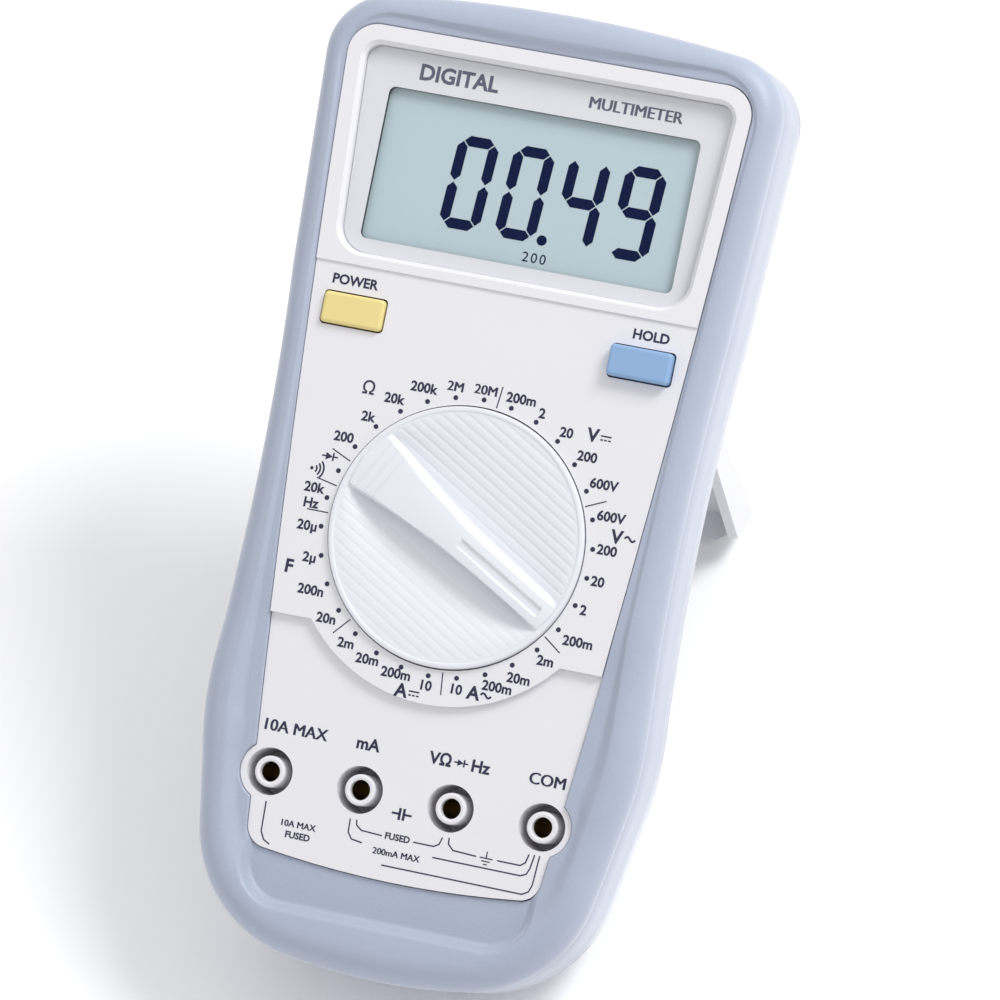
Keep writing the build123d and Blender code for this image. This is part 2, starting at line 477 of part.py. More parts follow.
with BuildPart() as trimmers:
    for place in range(3):
        block(-31, -24.5, 22 - 9 * place, 28.5 - 9 * place, BOARD_BACK - 5.0, BOARD_BACK)
        posts([(-27.75, 25.25 - 9 * place)], 2.4, BOARD_BACK - 5.6, BOARD_BACK - 5.0)
        block(-30, -25.5, 24.95 - 9 * place, 25.55 - 9 * place, BOARD_BACK - 5.6, BOARD_BACK - 5.2,
              mode=Mode.SUBTRACT)
keep(trimmers, "trimmers")

with BuildPart() as film_capacitors:
    for place in range(3):
        block(14, 21.5, 22 - 7.5 * place, 26.5 - 7.5 * place, BOARD_BACK - 6.5, BOARD_BACK)
    fillet(film_capacitors.edges().group_by(Axis.Z)[0], 0.6)
keep(film_capacitors, "film_capacitors")

with BuildPart() as electrolytic_capacitor:
    posts([(28, -8)], 3.15, BOARD_BACK - 7.4, BOARD_BACK)
    fillet(electrolytic_capacitor.edges().group_by(Axis.Z)[0], 0.5)
keep(electrolytic_capacitor, "electrolytic_capacitor")

with BuildPart() as thermistor:
    with Locations(Location((14, -30, BOARD_BACK - 4.2), (90, 0, 0))):
        Cylinder(4.2, 3.2)
keep(thermistor, "thermistor")

# fuses and shunt behind the input board
FUSES = {"fuse_10a": (32.0, 3.1, -67.2), "fuse_200ma": (20.0, 2.5, -59.2)}
for name, (length, radius, fuse_y) in FUSES.items():
    with BuildPart() as fuse:
        with Locations(along_x(fuse_y, FUSE_Z)):
            Cylinder(radius - 0.25, length)
            for end in (-1, 1):
                with Locations((0, 0, end * (length / 2 - 2.6))):
                    Cylinder(radius, 5.2)
    keep(fuse, name)

with BuildPart() as fuse_clips:
    for length, radius, fuse_y in FUSES.values():
        for end in (-1, 1):
            middle = end * (length / 2 - 2.6)
            block(middle - 2, middle + 2, fuse_y - radius - 0.5, fuse_y + radius + 0.5, FUSE_Z - 0.8, INPUT_BACK)
            block(middle - 3, middle + 3, fuse_y - radius, fuse_y + radius, FUSE_Z - 1, INPUT_BACK - 0.5,
                  mode=Mode.SUBTRACT)
keep(fuse_clips, "fuse_clips")

with BuildPart() as current_shunt:
    with BuildLine():
        FilletPolyline(
            (-24.5, -61.5, INPUT_BACK), (-24.5, -61.5, INPUT_BACK - 6), (-24.5, -69.5, INPUT_BACK - 6),
            (-24.5, -69.5, INPUT_BACK), radius=1.8,
        )
    with BuildSketch(Plane((-24.5, -61.5, INPUT_BACK))):
        Circle(0.8)
    sweep()
keep(current_shunt, "current_shunt")

# ---- input sockets ------------------------------------------------------------------------------------------------
SOCKET_NAMES = ("socket_10a", "socket_ma", "socket_volt_ohm", "socket_common")
for name, x in zip(SOCKET_NAMES, SOCKET_XS):
    with BuildPart() as sleeve:
        posts([(x, SOCKET_Y)], SLEEVE_R, SLEEVE_END, SLEEVE_TOP)
        posts([(x, SOCKET_Y)], BORE_R, SLEEVE_END + 0.8, SLEEVE_TOP, mode=Mode.SUBTRACT)
    keep(sleeve, name)

with BuildPart() as socket_nuts:
    with BuildSketch(level(INPUT_BACK - 2.4)):
        with Locations(*SOCKETS):
            RegularPolygon(4.0, 6)
            Circle(SLEEVE_R + 0.02, mode=Mode.SUBTRACT)
    extrude(amount=2.4)
keep(socket_nuts, "socket_nuts")

# ---- battery ------------------------------------------------------------------------------------------------------
BATTERY_BACK = BACK_Z + DOOR_THICK + 0.1
BATTERY_LEFT = BATTERY_X - BATTERY_L / 2
TERMINALS = [6.4, -6.4]
with BuildPart() as battery:
    block(BATTERY_LEFT, BATTERY_LEFT + BATTERY_L, BATTERY_Y - BATTERY_W / 2, BATTERY_Y + BATTERY_W / 2,
          BATTERY_BACK, BATTERY_BACK + BATTERY_T)
    fillet(battery.edges().filter_by(Axis.X), 2.0)
    for side in TERMINALS:
        with Locations(Location((BATTERY_LEFT - 1.1, BATTERY_Y + side, BATTERY_BACK + BATTERY_T / 2), (0, 90, 0))):
            Cylinder(3.0, 2.2)
keep(battery, "battery")

with BuildPart() as battery_snap:
    block(BATTERY_LEFT - 3.2, BATTERY_LEFT - 0.3, BATTERY_Y - 12, BATTERY_Y + 12, BATTERY_BACK + 2.4,
          BATTERY_BACK + 14.4)
    fillet(battery_snap.edges().filter_by(Axis.X), 3.0)
    for side in TERMINALS:
        with Locations(Location((BATTERY_LEFT - 1.2, BATTERY_Y + side, BATTERY_BACK + BATTERY_T / 2), (0, 90, 0))):
            Cylinder(3.1, 2.2, mode=Mode.SUBTRACT)
keep(battery_snap, "battery_snap")

LEAD_R = 0.6
for name, side in (("battery_lead_red", 4.0), ("battery_lead_black", -4.0)):
    start = (BATTERY_LEFT - 3.2, BATTERY_Y + side, BATTERY_BACK + 11.0)
    with BuildPart() as lead:
        with BuildLine():
            FilletPolyline(
                start, (start[0] - 1.9, start[1], start[2]), (start[0] - 1.9, start[1], BOARD_BACK), radius=1.5
            )
        with BuildSketch(Plane(start, z_dir=(-1, 0, 0))):
            Circle(LEAD_R)
        sweep()
    keep(lead, name)

with BuildPart() as battery_pad:
    block(BATTERY_LEFT + 4, BATTERY_LEFT + BATTERY_L - 4, BATTERY_Y - 8, BATTERY_Y + 8,
          BATTERY_BACK + BATTERY_T, BOARD_BACK)
keep(battery_pad, "battery_pad")

# ---- rotary knob --------------------------------------------------------------------------------------------------
KNOB_UNDER = WELL_FLOOR + 0.3
BAR_TAIL, BAR_POINT = -22.6, 22.9  # ends of the finger bar, along the pointer
BAR_TAIL_HALF, BAR_WAIST_HALF, BAR_POINT_HALF = 6.3, 3.9, 3.0
with BuildPart() as selector_knob:
    # dished disc with a raised rim
    with BuildSketch(Plane.XZ):
        with BuildLine():
            Polyline(
                (0, KNOB_UNDER), (KNOB_R, KNOB_UNDER), (KNOB_R, KNOB_RIM_Z - 0.5), (KNOB_R - 0.5, KNOB_RIM_Z),
                (KNOB_R - 1.2, KNOB_RIM_Z), (KNOB_R - 1.8, DISH_EDGE_Z),
            )
            ThreePointArc((KNOB_R - 1.8, DISH_EDGE_Z), (12.0, -1.35), (0, DISH_FLOOR_Z))
            Line((0, DISH_FLOOR_Z), (0, KNOB_UNDER))
        make_face()
    revolve(axis=Axis.Z)
    # finger bar: broad tail, narrow waist and point
    with BuildSketch(level(BAR_ROOT_Z)):
        with BuildLine():
            lower = Spline(
                (BAR_TAIL, -BAR_TAIL_HALF), (-10, -4.9), (0, -BAR_WAIST_HALF), (12, -3.3), (BAR_POINT, -BAR_POINT_HALF)
            )
            upper = mirror(lower, about=Plane.XZ)
            Line(upper @ 0, lower @ 0)
            Line(upper @ 1, lower @ 1)
        make_face()
        Circle(KNOB_R - 1.9, mode=Mode.INTERSECT)
    extrude(amount=BAR_TOP_Z - BAR_ROOT_Z, taper=6)
    # the bar's top is crowned, and carries the pointer line
    with BuildSketch(Plane.XZ):
        Polygon(
            (-26, 9), (-26, BAR_TAIL_Z), (-12, BAR_TOP_Z - 0.3), (0, BAR_TOP_Z), (12, BAR_TOP_Z - 0.5),
            (26, BAR_POINT_Z), (26, 9), align=None,
        )
    extrude(amount=12, both=True, mode=Mode.SUBTRACT)
    with BuildSketch(Plane.XZ):
        Polygon(
            (GROOVE_START, 9), (GROOVE_START, BAR_TOP_Z - 0.7), (22, BAR_POINT_Z - 0.2), (22, 9), align=None
        )
    extrude(amount=GROOVE_HALF, both=True, mode=Mode.SUBTRACT)
    # hub through the well's floor
    posts([(0, 0)], HUB_R, ROTOR_TOP, KNOB_UNDER)
    posts([(0, 0)], 1.3, ROTOR_TOP, KNOB_HOLE_TOP, mode=Mode.SUBTRACT)
TURN = Rot(Z=KNOB_ANGLE)
keep(selector_knob, "selector_knob", TURN)

with BuildPart() as knob_rotor:
    posts([(0, 0)], ROTOR_R, ROTOR_UNDER + 0.6, ROTOR_TOP)
    posts([(0, 0)], 5.0, ROTOR_UNDER, ROTOR_UNDER + 0.6)
    posts([(0, 0)], 1.4, ROTOR_UNDER, ROTOR_TOP, mode=Mode.SUBTRACT)
    posts([(0, 0)], 2.6, ROTOR_UNDER, ROTOR_UNDER + 0.9, mode=Mode.SUBTRACT)
    # spring pockets for the two detent balls
    for side in (1, -1):
        with Locations(Location((side * 19.0, 0, -6.0), (0, 90, 0))):
            Cylinder(0.85, 8.0, mode=Mode.SUBTRACT)
keep(knob_rotor, "knob_rotor", TURN)

with BuildPart() as knob_screw:
    posts([(0, 0)], 1.2, ROTOR_UNDER + 0.9, KNOB_SCREW_TIP)
    posts([(0, 0)], 2.4, ROTOR_UNDER, ROTOR_UNDER + 0.9)
keep(knob_screw, "knob_screw", TURN)

with BuildPart() as wiper_contacts:
    for radius in (12.0, 16.0, 20.0):
        with BuildSketch(level(ROTOR_UNDER + 0.3)):
            with BuildLine():
                CenterArc((0, 0), radius, -14, 28)
                offset(amount=0.7)
            make_face()
        extrude(amount=0.3)
keep(wiper_contacts, "wiper_contacts", TURN)

with BuildPart() as detent_springs:
    with BuildLine() as coil:
        Helix(0.8, 6.0, 0.55, center=(15.4, 0, -6.0), direction=(1, 0, 0))
    with BuildSketch(Plane(coil.line @ 0, z_dir=coil.line % 0)):
        Circle(0.18)
    sweep(is_frenet=True)
    mirror(about=Plane.YZ)
keep(detent_springs, "detent_springs", TURN)

with BuildPart() as detent_balls:
    for side in (1, -1):
        with Locations((side * BALL_AT, 0, -6.0)):
            Sphere(BALL_R)
keep(detent_balls, "detent_balls", TURN)

# ---- push buttons -------------------------------------------------------------------------------------------------
LATCHED = Pos(0, 0, -BUTTON_LATCH)
for name, x, pose in (("power", -BUTTON_X, LATCHED), ("hold", BUTTON_X, Pos(0, 0, 0))):
    with BuildPart() as button:
        with BuildSketch(level(FLANGE_TOP)):
            with Locations((x, BUTTON_Y)):
                RectangleRounded(BUTTON_W, BUTTON_H, 0.8)
        extrude(amount=BUTTON_OUT - FLANGE_TOP)
        fillet(button.edges().group_by(Axis.Z)[-1], 0.7)
        block(x - BUTTON_W / 2, x + BUTTON_W / 2, BUTTON_Y - BUTTON_H / 2 - 1, BUTTON_Y + BUTTON_H / 2 + 1,
              FLANGE_LOW, FLANGE_TOP)
        block(x - STEM_W / 2, x + STEM_W / 2, BUTTON_Y - STEM_W / 2, BUTTON_Y + STEM_W / 2, STEM_END, FLANGE_LOW)
    keep(button, name + "_button", pose)
    with BuildPart() as switch:
        block(x - SWITCH_W / 2, x + SWITCH_W / 2, BUTTON_Y - SWITCH_W / 2, BUTTON_Y + SWITCH_W / 2, BOARD_Z,
              SWITCH_TOP)
        block(x - SWITCH_HOLE / 2, x + SWITCH_HOLE / 2, BUTTON_Y - SWITCH_HOLE / 2, BUTTON_Y + SWITCH_HOLE / 2,
              BOARD_Z, SWITCH_TOP, mode=Mode.SUBTRACT)
    keep(switch, name + "_switch")

# ---- stance: case heel and stand foot both on the table -----------------------------------------------------------
def lowest(name, tilt):
    """Height of a piece's lowest point when the meter is tipped up."""
    return (Rot(X=tilt) * finished[name]).bounding_box().min.Z


low_tilt, high_tilt = 25.0, 45.0
while high_tilt - low_tilt > 1e-4:
    tilt = (low_tilt + high_tilt) / 2
    if lowest("rear_case", tilt) > lowest("tilt_stand", tilt):
        low_tilt = tilt
    else:
        high_tilt = tilt
tipped = Rot(X=tilt)
box = Compound([tipped * piece for piece in finished.values()]).bounding_box()
stance = Pos(-box.center().X, -box.center().Y, -box.min.Z) * tipped
print("tilt", round(tilt, 4), "knob centre", stance.position, "size", box.size)
for name, piece in finished.items():
    placed = stance * piece
    placed.label = name
    export_step(placed, f"parts/{name}.step")
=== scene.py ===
"""Looks of the handheld digital multimeter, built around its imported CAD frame.

Pieces are drawn in millimetres in the face frame: X across the face, Y up the face and Z out of it,
with the origin at the knob's centre. STANCE, read from the selector's joint, tips that frame up to
where the CAD model stands.
"""

import json
import math

import bpy
import numpy as np
from mathutils import Matrix, Vector


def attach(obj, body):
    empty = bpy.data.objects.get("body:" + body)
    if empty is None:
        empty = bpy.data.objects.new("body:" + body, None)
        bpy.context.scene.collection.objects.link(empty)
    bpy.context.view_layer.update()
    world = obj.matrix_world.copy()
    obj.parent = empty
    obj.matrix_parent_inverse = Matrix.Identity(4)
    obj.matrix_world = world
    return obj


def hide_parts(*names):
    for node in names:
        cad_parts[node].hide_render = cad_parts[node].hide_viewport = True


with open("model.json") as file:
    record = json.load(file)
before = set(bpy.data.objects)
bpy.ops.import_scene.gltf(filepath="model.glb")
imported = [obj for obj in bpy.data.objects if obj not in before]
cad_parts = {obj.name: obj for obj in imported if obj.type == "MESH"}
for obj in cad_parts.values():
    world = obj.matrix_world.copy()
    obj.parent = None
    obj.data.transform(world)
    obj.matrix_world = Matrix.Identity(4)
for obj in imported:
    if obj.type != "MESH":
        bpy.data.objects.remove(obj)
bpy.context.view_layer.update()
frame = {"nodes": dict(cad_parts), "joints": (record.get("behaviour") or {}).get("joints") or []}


# ---- face frame ----------------------------------------------------------------------------------
MILLIMETRE = 0.001
selector = {joint["name"]: joint for joint in frame["joints"]}["selector_turn"]
face_normal = Vector(selector["axis"])
TILT = math.atan2(-face_normal.y, face_normal.z)
TIPPED = Matrix.Translation(selector["pos_m"]) @ Matrix.Rotation(TILT, 4, "X")
STANCE = TIPPED @ Matrix.Scale(MILLIMETRE, 4)


# ---- driving dimensions, in millimetres ----------------------------------------------------------
TOP_Y, BOTTOM_Y = 102.8, -86.2
CORNER, SHOULDER, WAIST, HIP, HEEL = (46.3, 99.3), (43.9, 46.5), (42.3, 9.0), (44.1, -38.0), (36.9, -79.9)
CORNER_R, SHOULDER_R, HIP_R, HEEL_R = 12.0, 120.0, 70.0, 26.0
FACE_TOP_Y, FACE_BOTTOM_Y, FACE_FOOT_ARCH = 94.6, -67.2, 2.2
FACE_HALF_TOP, FACE_HALF_MID, FACE_HALF_LOW, FACE_HALF_FOOT = 40.9, 36.2, 30.7, 29.4
FACE_MID_Y, FACE_LOW_Y = 13.6, -51.0
LOBE_R = 5.95
RIM_Z, SEAM_Z, SHELF_Z = 1.3, -21.5, -4.4
DISPLAY_LEVEL, DIAL_LEVEL, SOCKET_LEVEL = 0.4, 0.0, -1.2
MASK_TOP, CELL_TOP = -2.0, -3.4
SOCKET_PITCH, SOCKET_Y = 18.3, -50.9
SOCKET_XS = [(place - 1.5) * SOCKET_PITCH for place in range(4)]
WINDOW_HALF, WINDOW_TOP_Y, WINDOW_BOTTOM_Y = 31.4, 83.3, 53.4
APRON_Y, APRON_HALF, APRON_CORNER_R, APRON_FLOOR = -76.5, 29.4, 9.0, -1.75
KNOB_R, KNOB_UNDER = 25.2, -3.1
KNOB_ANGLE = math.radians(-30.0)


# ---- small helpers -------------------------------------------------------------------------------
def object_from(name, verts, faces, local=None):
    """Mesh object from face-frame points, tipped up into the row frame."""
    mesh = bpy.data.meshes.new(name)
    mesh.from_pydata([tuple(map(float, point)) for point in verts], [], faces)
    mesh.validate()
    if local:
        mesh.transform(local)
    mesh.transform(STANCE)
    thing = bpy.data.objects.new(name, mesh)
    bpy.context.scene.collection.objects.link(thing)
    return thing


def smooth(thing, angle=40):
    """Smooth shading, sharp where the faces turn by more than the angle."""
    thing.data.shade_smooth()
    thing.data.set_sharp_from_angle(angle=math.radians(angle))
    return thing


def finish_piece(thing, body, slot, material, *nodes):
    """Gives a piece its material and its body, and hides the CAD nodes that it stands for; slot is not used.
    """
    thing.data.materials.clear()
    thing.data.materials.append(material)
    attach(thing, body)
    if nodes:
        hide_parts(*nodes)
    return thing


def smoothstep(value):
    value = np.clip(value, 0.0, 1.0)
    return value * value * (3 - 2 * value)


# ---- materials -----------------------------------------------------------------------------------
def new_material(name, color, roughness):
    """Principled material with its constant values on the shader's own sockets."""
    material = bpy.data.materials.new(name)
    material.use_nodes = True
    shader = material.node_tree.nodes["Principled BSDF"]
    shader.inputs["Base Color"].default_value = (*color, 1.0)
    shader.inputs["Roughness"].default_value = roughness
    return material, shader


def srgb(red, green, blue):
    """Linear colour from 0 to 255 display values."""
    def linear(value):
        value /= 255
        return value / 12.92 if value <= 0.04045 else ((value + 0.055) / 1.055) ** 2.4
    return linear(red), linear(green), linear(blue)


def noise(material, features, detail):
    """Noise over the object's own coordinates, by its features per metre."""
    nodes = material.node_tree.nodes
    place, texture = nodes.new("ShaderNodeTexCoord"), nodes.new("ShaderNodeTexNoise")
    texture.inputs["Scale"].default_value = features
    texture.inputs["Detail"].default_value = detail
    material.node_tree.links.new(place.outputs["Object"], texture.inputs["Vector"])
    return texture.outputs["Fac"]


def vary_gloss(material, shader, source, low, high):
    """Runs the roughness between two values after a noise."""
    span = material.node_tree.nodes.new("ShaderNodeMapRange")
    span.inputs["To Min"].default_value = low
    span.inputs["To Max"].default_value = high
    material.node_tree.links.new(source, span.inputs["Value"])
    material.node_tree.links.new(span.outputs["Result"], shader.inputs["Roughness"])


PER_METRE = 1000  # millimetres
PATCHES, SMUDGES = 60.0, 90.0  # features per metre
GLOSS_SPREAD, SHEEN_ROUGHNESS, BUMP_STRENGTH = 0.1, 0.35, 0.5


def moulded(name, color, roughness, grain, depth, mottle, ior_level=0.5, sheen=0.0, metallic=0.0):
    """Moulded or cast surface: fine grain in the bump, and slight unevenness in colour and gloss.

    grain is in features per millimetre and depth in millimetres.
    """
    material, shader = new_material(name, color, roughness)
    nodes, links = material.node_tree.nodes, material.node_tree.links
    shader.inputs["Specular IOR Level"].default_value = ior_level
    shader.inputs["Metallic"].default_value = metallic
    if sheen:
        shader.inputs["Sheen Weight"].default_value = sheen
        shader.inputs["Sheen Roughness"].default_value = SHEEN_ROUGHNESS
    fine, broad = noise(material, grain * PER_METRE, 3.0), noise(material, PATCHES, 4.0)
    bump = nodes.new("ShaderNodeBump")
    bump.inputs["Strength"].default_value = BUMP_STRENGTH
    bump.inputs["Distance"].default_value = depth / PER_METRE
    links.new(fine, bump.inputs["Height"])
    links.new(bump.outputs["Normal"], shader.inputs["Normal"])
    shade = nodes.new("ShaderNodeMix")
    shade.data_type = "RGBA"
    shade.inputs["A"].default_value = (*[channel * (1 - mottle) for channel in color], 1.0)
    shade.inputs["B"].default_value = (*[min(1.0, channel * (1 + mottle)) for channel in color], 1.0)
    links.new(broad, shade.inputs["Factor"])
    links.new(shade.outputs["Result"], shader.inputs["Base Color"])
    low, high = roughness * (1 - GLOSS_SPREAD), min(1.0, roughness * (1 + GLOSS_SPREAD))
    vary_gloss(material, shader, broad, low, high)
    return material


def clear_lens(name):
    """Clear plastic with a faint tint, that lets light straight through."""
    material, shader = new_material(name, srgb(20, 24, 28), 0.04)
    shader.inputs["Alpha"].default_value = 0.015
    shader.inputs["Specular IOR Level"].default_value = 0.5
    vary_gloss(material, shader, noise(material, SMUDGES, 2.0), 0.02, 0.08)
    return material


BLUE_SHELL = moulded("soft_touch_blue", srgb(169, 178, 196), 0.42, 2.2, 0.14, 0.04, sheen=0.7)
WHITE_PANEL = moulded("panel_white", srgb(230, 229, 233), 0.42, 3.0, 0.008, 0.008)
REAR_GREY = moulded("rear_grey", srgb(206, 210, 224), 0.5, 2.2, 0.05, 0.02)
STAND_GREY = moulded("stand_grey", srgb(224, 224, 227), 0.45, 2.2, 0.03, 0.02)
KNOB_WHITE = moulded("knob_white", srgb(229, 231, 237), 0.36, 3.0, 0.006, 0.008)
BUTTON_YELLOW = moulded("button_yellow", srgb(232, 214, 142), 0.34, 3.0, 0.01, 0.02)
BUTTON_BLUE = moulded("button_blue", srgb(138, 172, 211), 0.34, 3.0, 0.01, 0.02)
MASK_WHITE = moulded("mask_white", srgb(222, 224, 228), 0.45, 2.0, 0.002, 0.01)
LCD_GREY = moulded("lcd_grey", srgb(186, 204, 211), 0.35, 1.5, 0.002, 0.015)
LCD_INK = moulded("lcd_ink", srgb(8, 24, 62), 0.5, 1.5, 0.001, 0.05, ior_level=0.1)
PRINT_INK = moulded("print_ink", srgb(52, 53, 76), 0.5, 2.0, 0.001, 0.05, ior_level=0.2)
PRINT_GREY = moulded("print_grey", srgb(92, 94, 112), 0.5, 2.0, 0.001, 0.05)
BLACK_PLASTIC = moulded("black_plastic", srgb(34, 34, 37), 0.5, 2.0, 0.02, 0.06)
# brass darkened below its own colour: painted shade for the deep, dark socket bores
BRASS_DARKENED_AS_SHADE = moulded("brass_darkened_as_bore_shade", srgb(150, 128, 84), 0.35, 3.0, 0.004, 0.05, metallic=1.0)
STEEL = moulded("plated_steel", srgb(186, 188, 192), 0.32, 3.0, 0.004, 0.05, metallic=1.0)
LENS_CLEAR = clear_lens("lens_clear")
BOARD_GREEN = moulded("board_green", srgb(30, 92, 52), 0.4, 1.2, 0.02, 0.1)
CREAM = moulded("switch_cream", srgb(222, 216, 196), 0.45, 2.0, 0.01, 0.03)
RUBBER_PINK = moulded("rubber_pink", srgb(206, 150, 152), 0.7, 2.0, 0.02, 0.05)
BLUE_TRIMMER = moulded("trimmer_blue", srgb(40, 78, 160), 0.4, 2.0, 0.01, 0.05)
RED_DIPPED = moulded("capacitor_red", srgb(150, 44, 36), 0.35, 1.2, 0.03, 0.08)
SLEEVE_NAVY = moulded("capacitor_sleeve", srgb(26, 30, 58), 0.3, 2.0, 0.004, 0.08)
ORANGE_DIPPED = moulded("thermistor_orange", srgb(214, 110, 34), 0.45, 1.2, 0.03, 0.08)
CERAMIC = moulded("fuse_ceramic", srgb(230, 226, 216), 0.3, 1.5, 0.006, 0.02)
SHUNT = moulded("shunt_metal", srgb(168, 146, 122), 0.35, 2.5, 0.01, 0.08, metallic=1.0)
BATTERY_SLEEVE = moulded("battery_sleeve", srgb(60, 66, 76), 0.38, 1.5, 0.006, 0.08, metallic=0.6)
WIRE_RED = moulded("wire_red", srgb(178, 30, 28), 0.45, 1.5, 0.01, 0.06)
WIRE_BLACK = moulded("wire_black", srgb(26, 26, 28), 0.45, 1.5, 0.01, 0.06)
FOAM = moulded("foam_grey", srgb(82, 82, 88), 0.9, 1.0, 0.25, 0.15)


# ---- outlines ------------------------------------------------------------------------------------
def line(start, end, steps=80):
    return np.linspace(start, end, steps)


def arc(start, middle, end, steps=160):
    """Points of the circular arc through three points."""
    (ax, ay), (bx, by), (cx, cy) = start, middle, end
    scale = 2 * (ax * (by - cy) + bx * (cy - ay) + cx * (ay - by))
    squares = [x * x + y * y for x, y in (start, middle, end)]
    centre = np.array([
        (squares[0] * (by - cy) + squares[1] * (cy - ay) + squares[2] * (ay - by)) / scale,
        (squares[0] * (cx - bx) + squares[1] * (ax - cx) + squares[2] * (bx - ax)) / scale,
    ])
    first, mid, last = [math.atan2(y - centre[1], x - centre[0]) for x, y in (start, middle, end)]
    if not min(first, last) <= mid <= max(first, last):
        last += 2 * math.pi if last < first else -2 * math.pi
    angles = np.linspace(first, last, steps)
    radius = math.hypot(*(np.array(start) - centre))
    return centre + radius * np.stack([np.cos(angles), np.sin(angles)], 1)


def inward(points):
    """Unit normals on the right-hand side of a path."""
    along = np.gradient(points, axis=0)
    along /= np.linalg.norm(along, axis=1, keepdims=True)
    return np.stack([along[:, 1], -along[:, 0]], 1)


def round_corner(first, second, radius):
    """Joins two paths that meet in a point, by an arc inside the corner on their right."""
    dense_first = resample(first, 800)
    dense_second = resample(second, 800)
    shifted_first = dense_first + radius * inward(dense_first)
    shifted_second = dense_second + radius * inward(dense_second)
    gaps = np.linalg.norm(shifted_first[:, None] - shifted_second[None], axis=2)
    last, start = np.unravel_index(gaps.argmin(), gaps.shape)
    centre = (shifted_first[last] + shifted_second[start]) / 2
    begin, end = dense_first[last] - centre, dense_second[start] - centre
    turn = math.atan2(begin[0] * end[1] - begin[1] * end[0], begin @ end)
    angles = math.atan2(begin[1], begin[0]) + np.linspace(0, turn, 40)
    bend = centre + radius * np.stack([np.cos(angles), np.sin(angles)], 1)
    return np.vstack([dense_first[:last], bend]), dense_second[start + 1:]


def resample(points, count):
    """Equally spaced points along a path."""
    lengths = np.concatenate([[0], np.cumsum(np.linalg.norm(np.diff(points, axis=0), axis=1))])
    places = np.linspace(0, lengths[-1], count)
    return np.stack([np.interp(places, lengths, points[:, axis]) for axis in (0, 1)], 1)


def closed_outline(pieces, radii):
    """Right half from top centre to bottom centre, with rounded corners, mirrored and closed."""
    path = pieces[0]
    for piece, radius in zip(pieces[1:], radii):
        if radius:
            path, piece = round_corner(path, piece, radius)
        path = np.vstack([path, piece])
    left = path[::-1] * np.array([-1, 1])
    return np.vstack([path, left[1:-1]])


def half_arch(end, peak):
    """Right half of the symmetric arc from the peak on the centre line to the end point."""
    whole = arc((-end[0], end[1]), (0, peak), end, 321)
    return whole[160:]


CASE_OUTLINE = closed_outline(
    [half_arch(CORNER, TOP_Y), line(CORNER, SHOULDER), arc(SHOULDER, WAIST, HIP), line(HIP, HEEL),
     half_arch(HEEL, BOTTOM_Y)[::-1]],
    [CORNER_R, SHOULDER_R, HIP_R, HEEL_R],
)
FACE_FOOT = (FACE_HALF_FOOT, FACE_BOTTOM_Y + FACE_FOOT_ARCH)
FACE_OUTLINE = closed_outline(
    [line((0, FACE_TOP_Y), (FACE_HALF_TOP, FACE_TOP_Y)),
     arc((FACE_HALF_TOP, FACE_TOP_Y), (FACE_HALF_MID, FACE_MID_Y), (FACE_HALF_LOW, FACE_LOW_Y)),
     line((FACE_HALF_LOW, FACE_LOW_Y), FACE_FOOT), half_arch(FACE_FOOT, FACE_BOTTOM_Y)[::-1]],
    [6.0, 0, 4.5],
)


def ray_reach(origins, directions, outline):
    """How far each ray runs before it leaves the closed outline."""
    start, step = outline, np.roll(outline, -1, 0) - outline
    offset = start[None] - origins[:, None]
    across = directions[:, None, 0] * step[None, :, 1] - directions[:, None, 1] * step[None, :, 0]
    across = np.where(np.abs(across) < 1e-12, 1e-12, across)
    reach = (offset[..., 0] * step[None, :, 1] - offset[..., 1] * step[None, :, 0]) / across
    share = (offset[..., 0] * directions[:, None, 1] - offset[..., 1] * directions[:, None, 0]) / across
    hits = (share >= -1e-9) & (share <= 1 + 1e-9) & (reach > 0)
    return np.where(hits, reach, -1.0).max(1)


def circle_reach(origins, directions, centre, radius):
    """How far each ray runs before it leaves the circle, or -1 where it misses it."""
    offset = origins - np.array(centre)
    along = (offset * directions).sum(1)
    rest = along ** 2 - (offset ** 2).sum(1) + radius ** 2
    return np.where(rest > 0, -along + np.sqrt(np.maximum(rest, 0)), -1.0)


def spokes():
    """Rays from the spine of the case, once round it: by angle at the ends and level between."""
    upper, lower = 60.0, -40.0
    origins, directions = [], []
    for angle in np.linspace(90, 0, 110, endpoint=False):
        origins.append((0, upper))
        directions.append((math.cos(math.radians(angle)), math.sin(math.radians(angle))))
    for y in np.linspace(upper, lower, 90, endpoint=False):
        origins.append((0, y))
        directions.append((1, 0))
    for angle in np.linspace(0, -90, 260, endpoint=False):
        origins.append((0, lower))
        directions.append((math.cos(math.radians(angle)), math.sin(math.radians(angle))))
    origins, directions = np.array(origins, float), np.array(directions, float)
    mirror = np.array([-1, 1])
    origins = np.vstack([origins, [[0, lower]], origins[:0:-1]])
    directions = np.vstack([directions, [[0, -1]], directions[:0:-1] * mirror])
    return origins, directions


# ---- front shell ---------------------------------------------------------------------------------
PANEL_EDGE_Z, EDGE_DROP, DROP_FROM_Y, DROP_RUN = 0.25, 0.75, -10, 14
CROWN_LEAST, CROWN_RISE, CROWN_FROM, CROWN_RUN = 0.35, 1.3, 4.5, 5
ROLL_R, ROLL_SHARE, ROLL_DROP = 5.4, 0.82, 5.2
SCOOP_START, SCOOP_RUN = 0.3, 2.1
EDGE_LIP, EDGE_BEVEL = 0.3, 0.08
SIDE_GROOVE = ((0.35, 0.0), (0.6, 0.12), (0.9, 0.12), (1.2, 0.02))  # drop below the roll, and depth
WALL_SHARES, WALL_INSET, SEAM_INSET, SHELL_WALL = (0.35, 0.7, 0.96), 0.02, 0.35, 3.0
FLAT_STEPS, ROLL_STEPS = 40, 14


